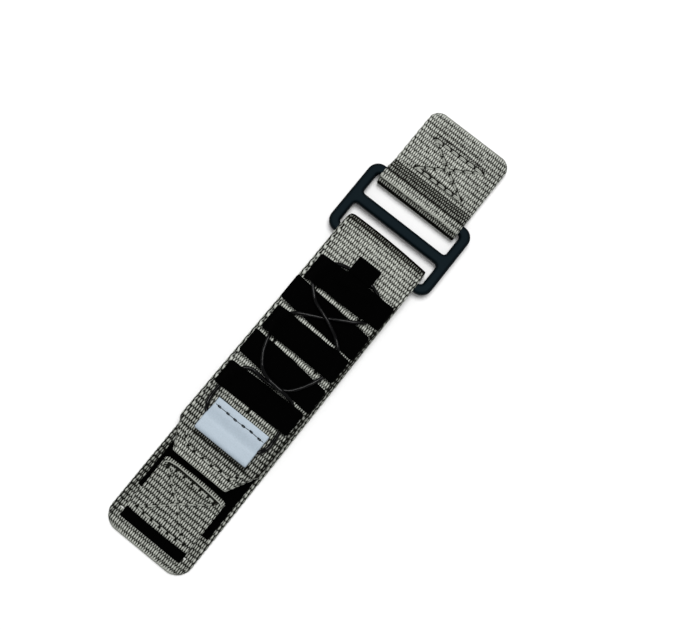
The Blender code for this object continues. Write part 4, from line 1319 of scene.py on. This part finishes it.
def sew(name, rows, width, finish, body, cloth, gap=0.14, side=1):
    """All the stitches of some seams as one piece; rows are lists of holes, and all sizes are in mm."""
    tree = cloth_tree(cloth)
    radius = width * MM
    lines = []
    for row in rows:
        for start, end in zip(row, row[1:]):
            cut = gap / math.dist(start, end)
            lines += stitch(tree, part_way(start, end, cut), part_way(end, start, cut), radius, side)
    made = tubes(name, lines, PLY_SHARE * radius, PLY_SIDES, finish, body)


def lay(name, places, width, finish, body, cloth):
    """One cord that lies along a line of places in mm, half sunk in the cloth."""
    tree = cloth_tree(cloth)
    run = np.concatenate(([0.0], np.cumsum([math.dist(a, b) for a, b in zip(places, places[1:])])))
    even = np.linspace(0, run[-1], round(run[-1] / CORD_STEP) + 1)
    x, y = (np.interp(even, run, side) for side in zip(*places))
    spots = [strap_point(place) for place in zip(x, y)]
    heights = np.pad([height_below(tree, *spot, 0.0) for spot in spots], 4, mode="edge")
    smooth = np.mean([heights[k:k + len(spots)] for k in range(9)], axis=0)
    line = [(*spot, z) for spot, z in zip(spots, smooth)]
    made = tubes(name, [line], width * MM, CORD_SIDES, finish, body)


def thread_material(name, code, roughness=0.5, specular=0.4):
    """Twisted filament thread."""
    made, tree, shader = start_material(name, roughness, Specular_IOR_Level=specular)
    strands = add_noise(tree, object_place(tree), 1 / (0.14 * MM), 2.0)
    paint(tree, shader, add_range(tree, strands, 0.8, 1.15), code)
    return made


grey_thread = thread_material("grey_nylon_thread", "#b9bcb4")
tab_thread = thread_material("thick_grey_nylon_thread", "#a9aca4")
patch_thread = thread_material("thin_grey_nylon_thread", "#a6a9a1")
hem_thread = thread_material("stretched_grey_nylon_yarn", "#8f928a")
teal_thread = thread_material("dark_teal_nylon_thread", "#050b0e", 0.5, 0.06)
black_thread = thread_material("black_nylon_thread", "#020203", 0.6, 0.05)
white_thread = thread_material("white_nylon_thread", "#e6e8e4")

tacks = [((-10.3, 5.1), (-9.4, 5.1)), ((9.0, 5.05), (9.9, 5.05))]
pale_stitches = [[(x - 0.6, y), (x + 0.6, y)] for x, y in pale_holes[1:-1]]
sew("tab_box_stitches", tab_rows, 0.36, tab_thread, "pull_tab", pull_tab, 0.19)
sew("tab_cross_stitches", tab_crosses, 0.22, tab_thread, "pull_tab", pull_tab, 0.19)
sew("tab_bobbin_stitches", tab_rows + tab_crosses, 0.24, grey_thread, "pull_tab", pull_tab, side=-1)
sew("patch_box_stitches", patch_rows, 0.19, patch_thread, "back", patch, 0.24)
sew("patch_bobbin_stitches", patch_rows, 0.24, grey_thread, "back", back_web, side=-1)
lay("patch_hem_cord", hem_ridge, 0.17, hem_thread, "back", patch)
lay("tab_crease_cord", ((-12.0, 108.15), (12.2, 108.45)), 0.17, hem_thread, "pull_tab", pull_tab)
sew("front_end_stitches", [front_holes], 0.17, grey_thread, "front", front_web, 0.34)
sew("reflective_tab_stitches", pale_stitches, 0.27, teal_thread, "reflective_tab", pale_tab, 0.05)
sew("reflective_tab_line", [pale_holes], 0.09, teal_thread, "reflective_tab", pale_tab, 0)
sew("ladder_seam_threads", notches, 0.18, black_thread, "front", front_web, 0)
sew("end_strip_tacks", tacks, 0.18, white_thread, "back", back_web, 0)

# %% [markdown]
# ## Buckle
# The buckle is a cast zinc alloy ladder frame with a satin black coat that turns blue in the light. The
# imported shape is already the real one, so it stays. The coat is a dielectric paint layer: no metallic, a
# dark blue base and a medium roughness, with a very fine orange peel.

# %% Coat the buckle
coat, coat_tree, coat_shader = start_material(
    "satin_dark_blue_coated_zinc_alloy", 0.5, Specular_IOR_Level=0.06, Base_Color=linear("#03080b"),
    Specular_Tint=linear("#bce7ff"))
peel = add_noise(coat_tree, object_place(coat_tree), 1 / (0.5 * MM), 1.0)
roughen(coat_tree, coat_shader, peel, 0.15, 0.00003)
buckle = bpy.data.objects["buckle"]
buckle.data.materials.clear()
buckle.data.materials.append(coat)
print("buckle coated with", coat.name)
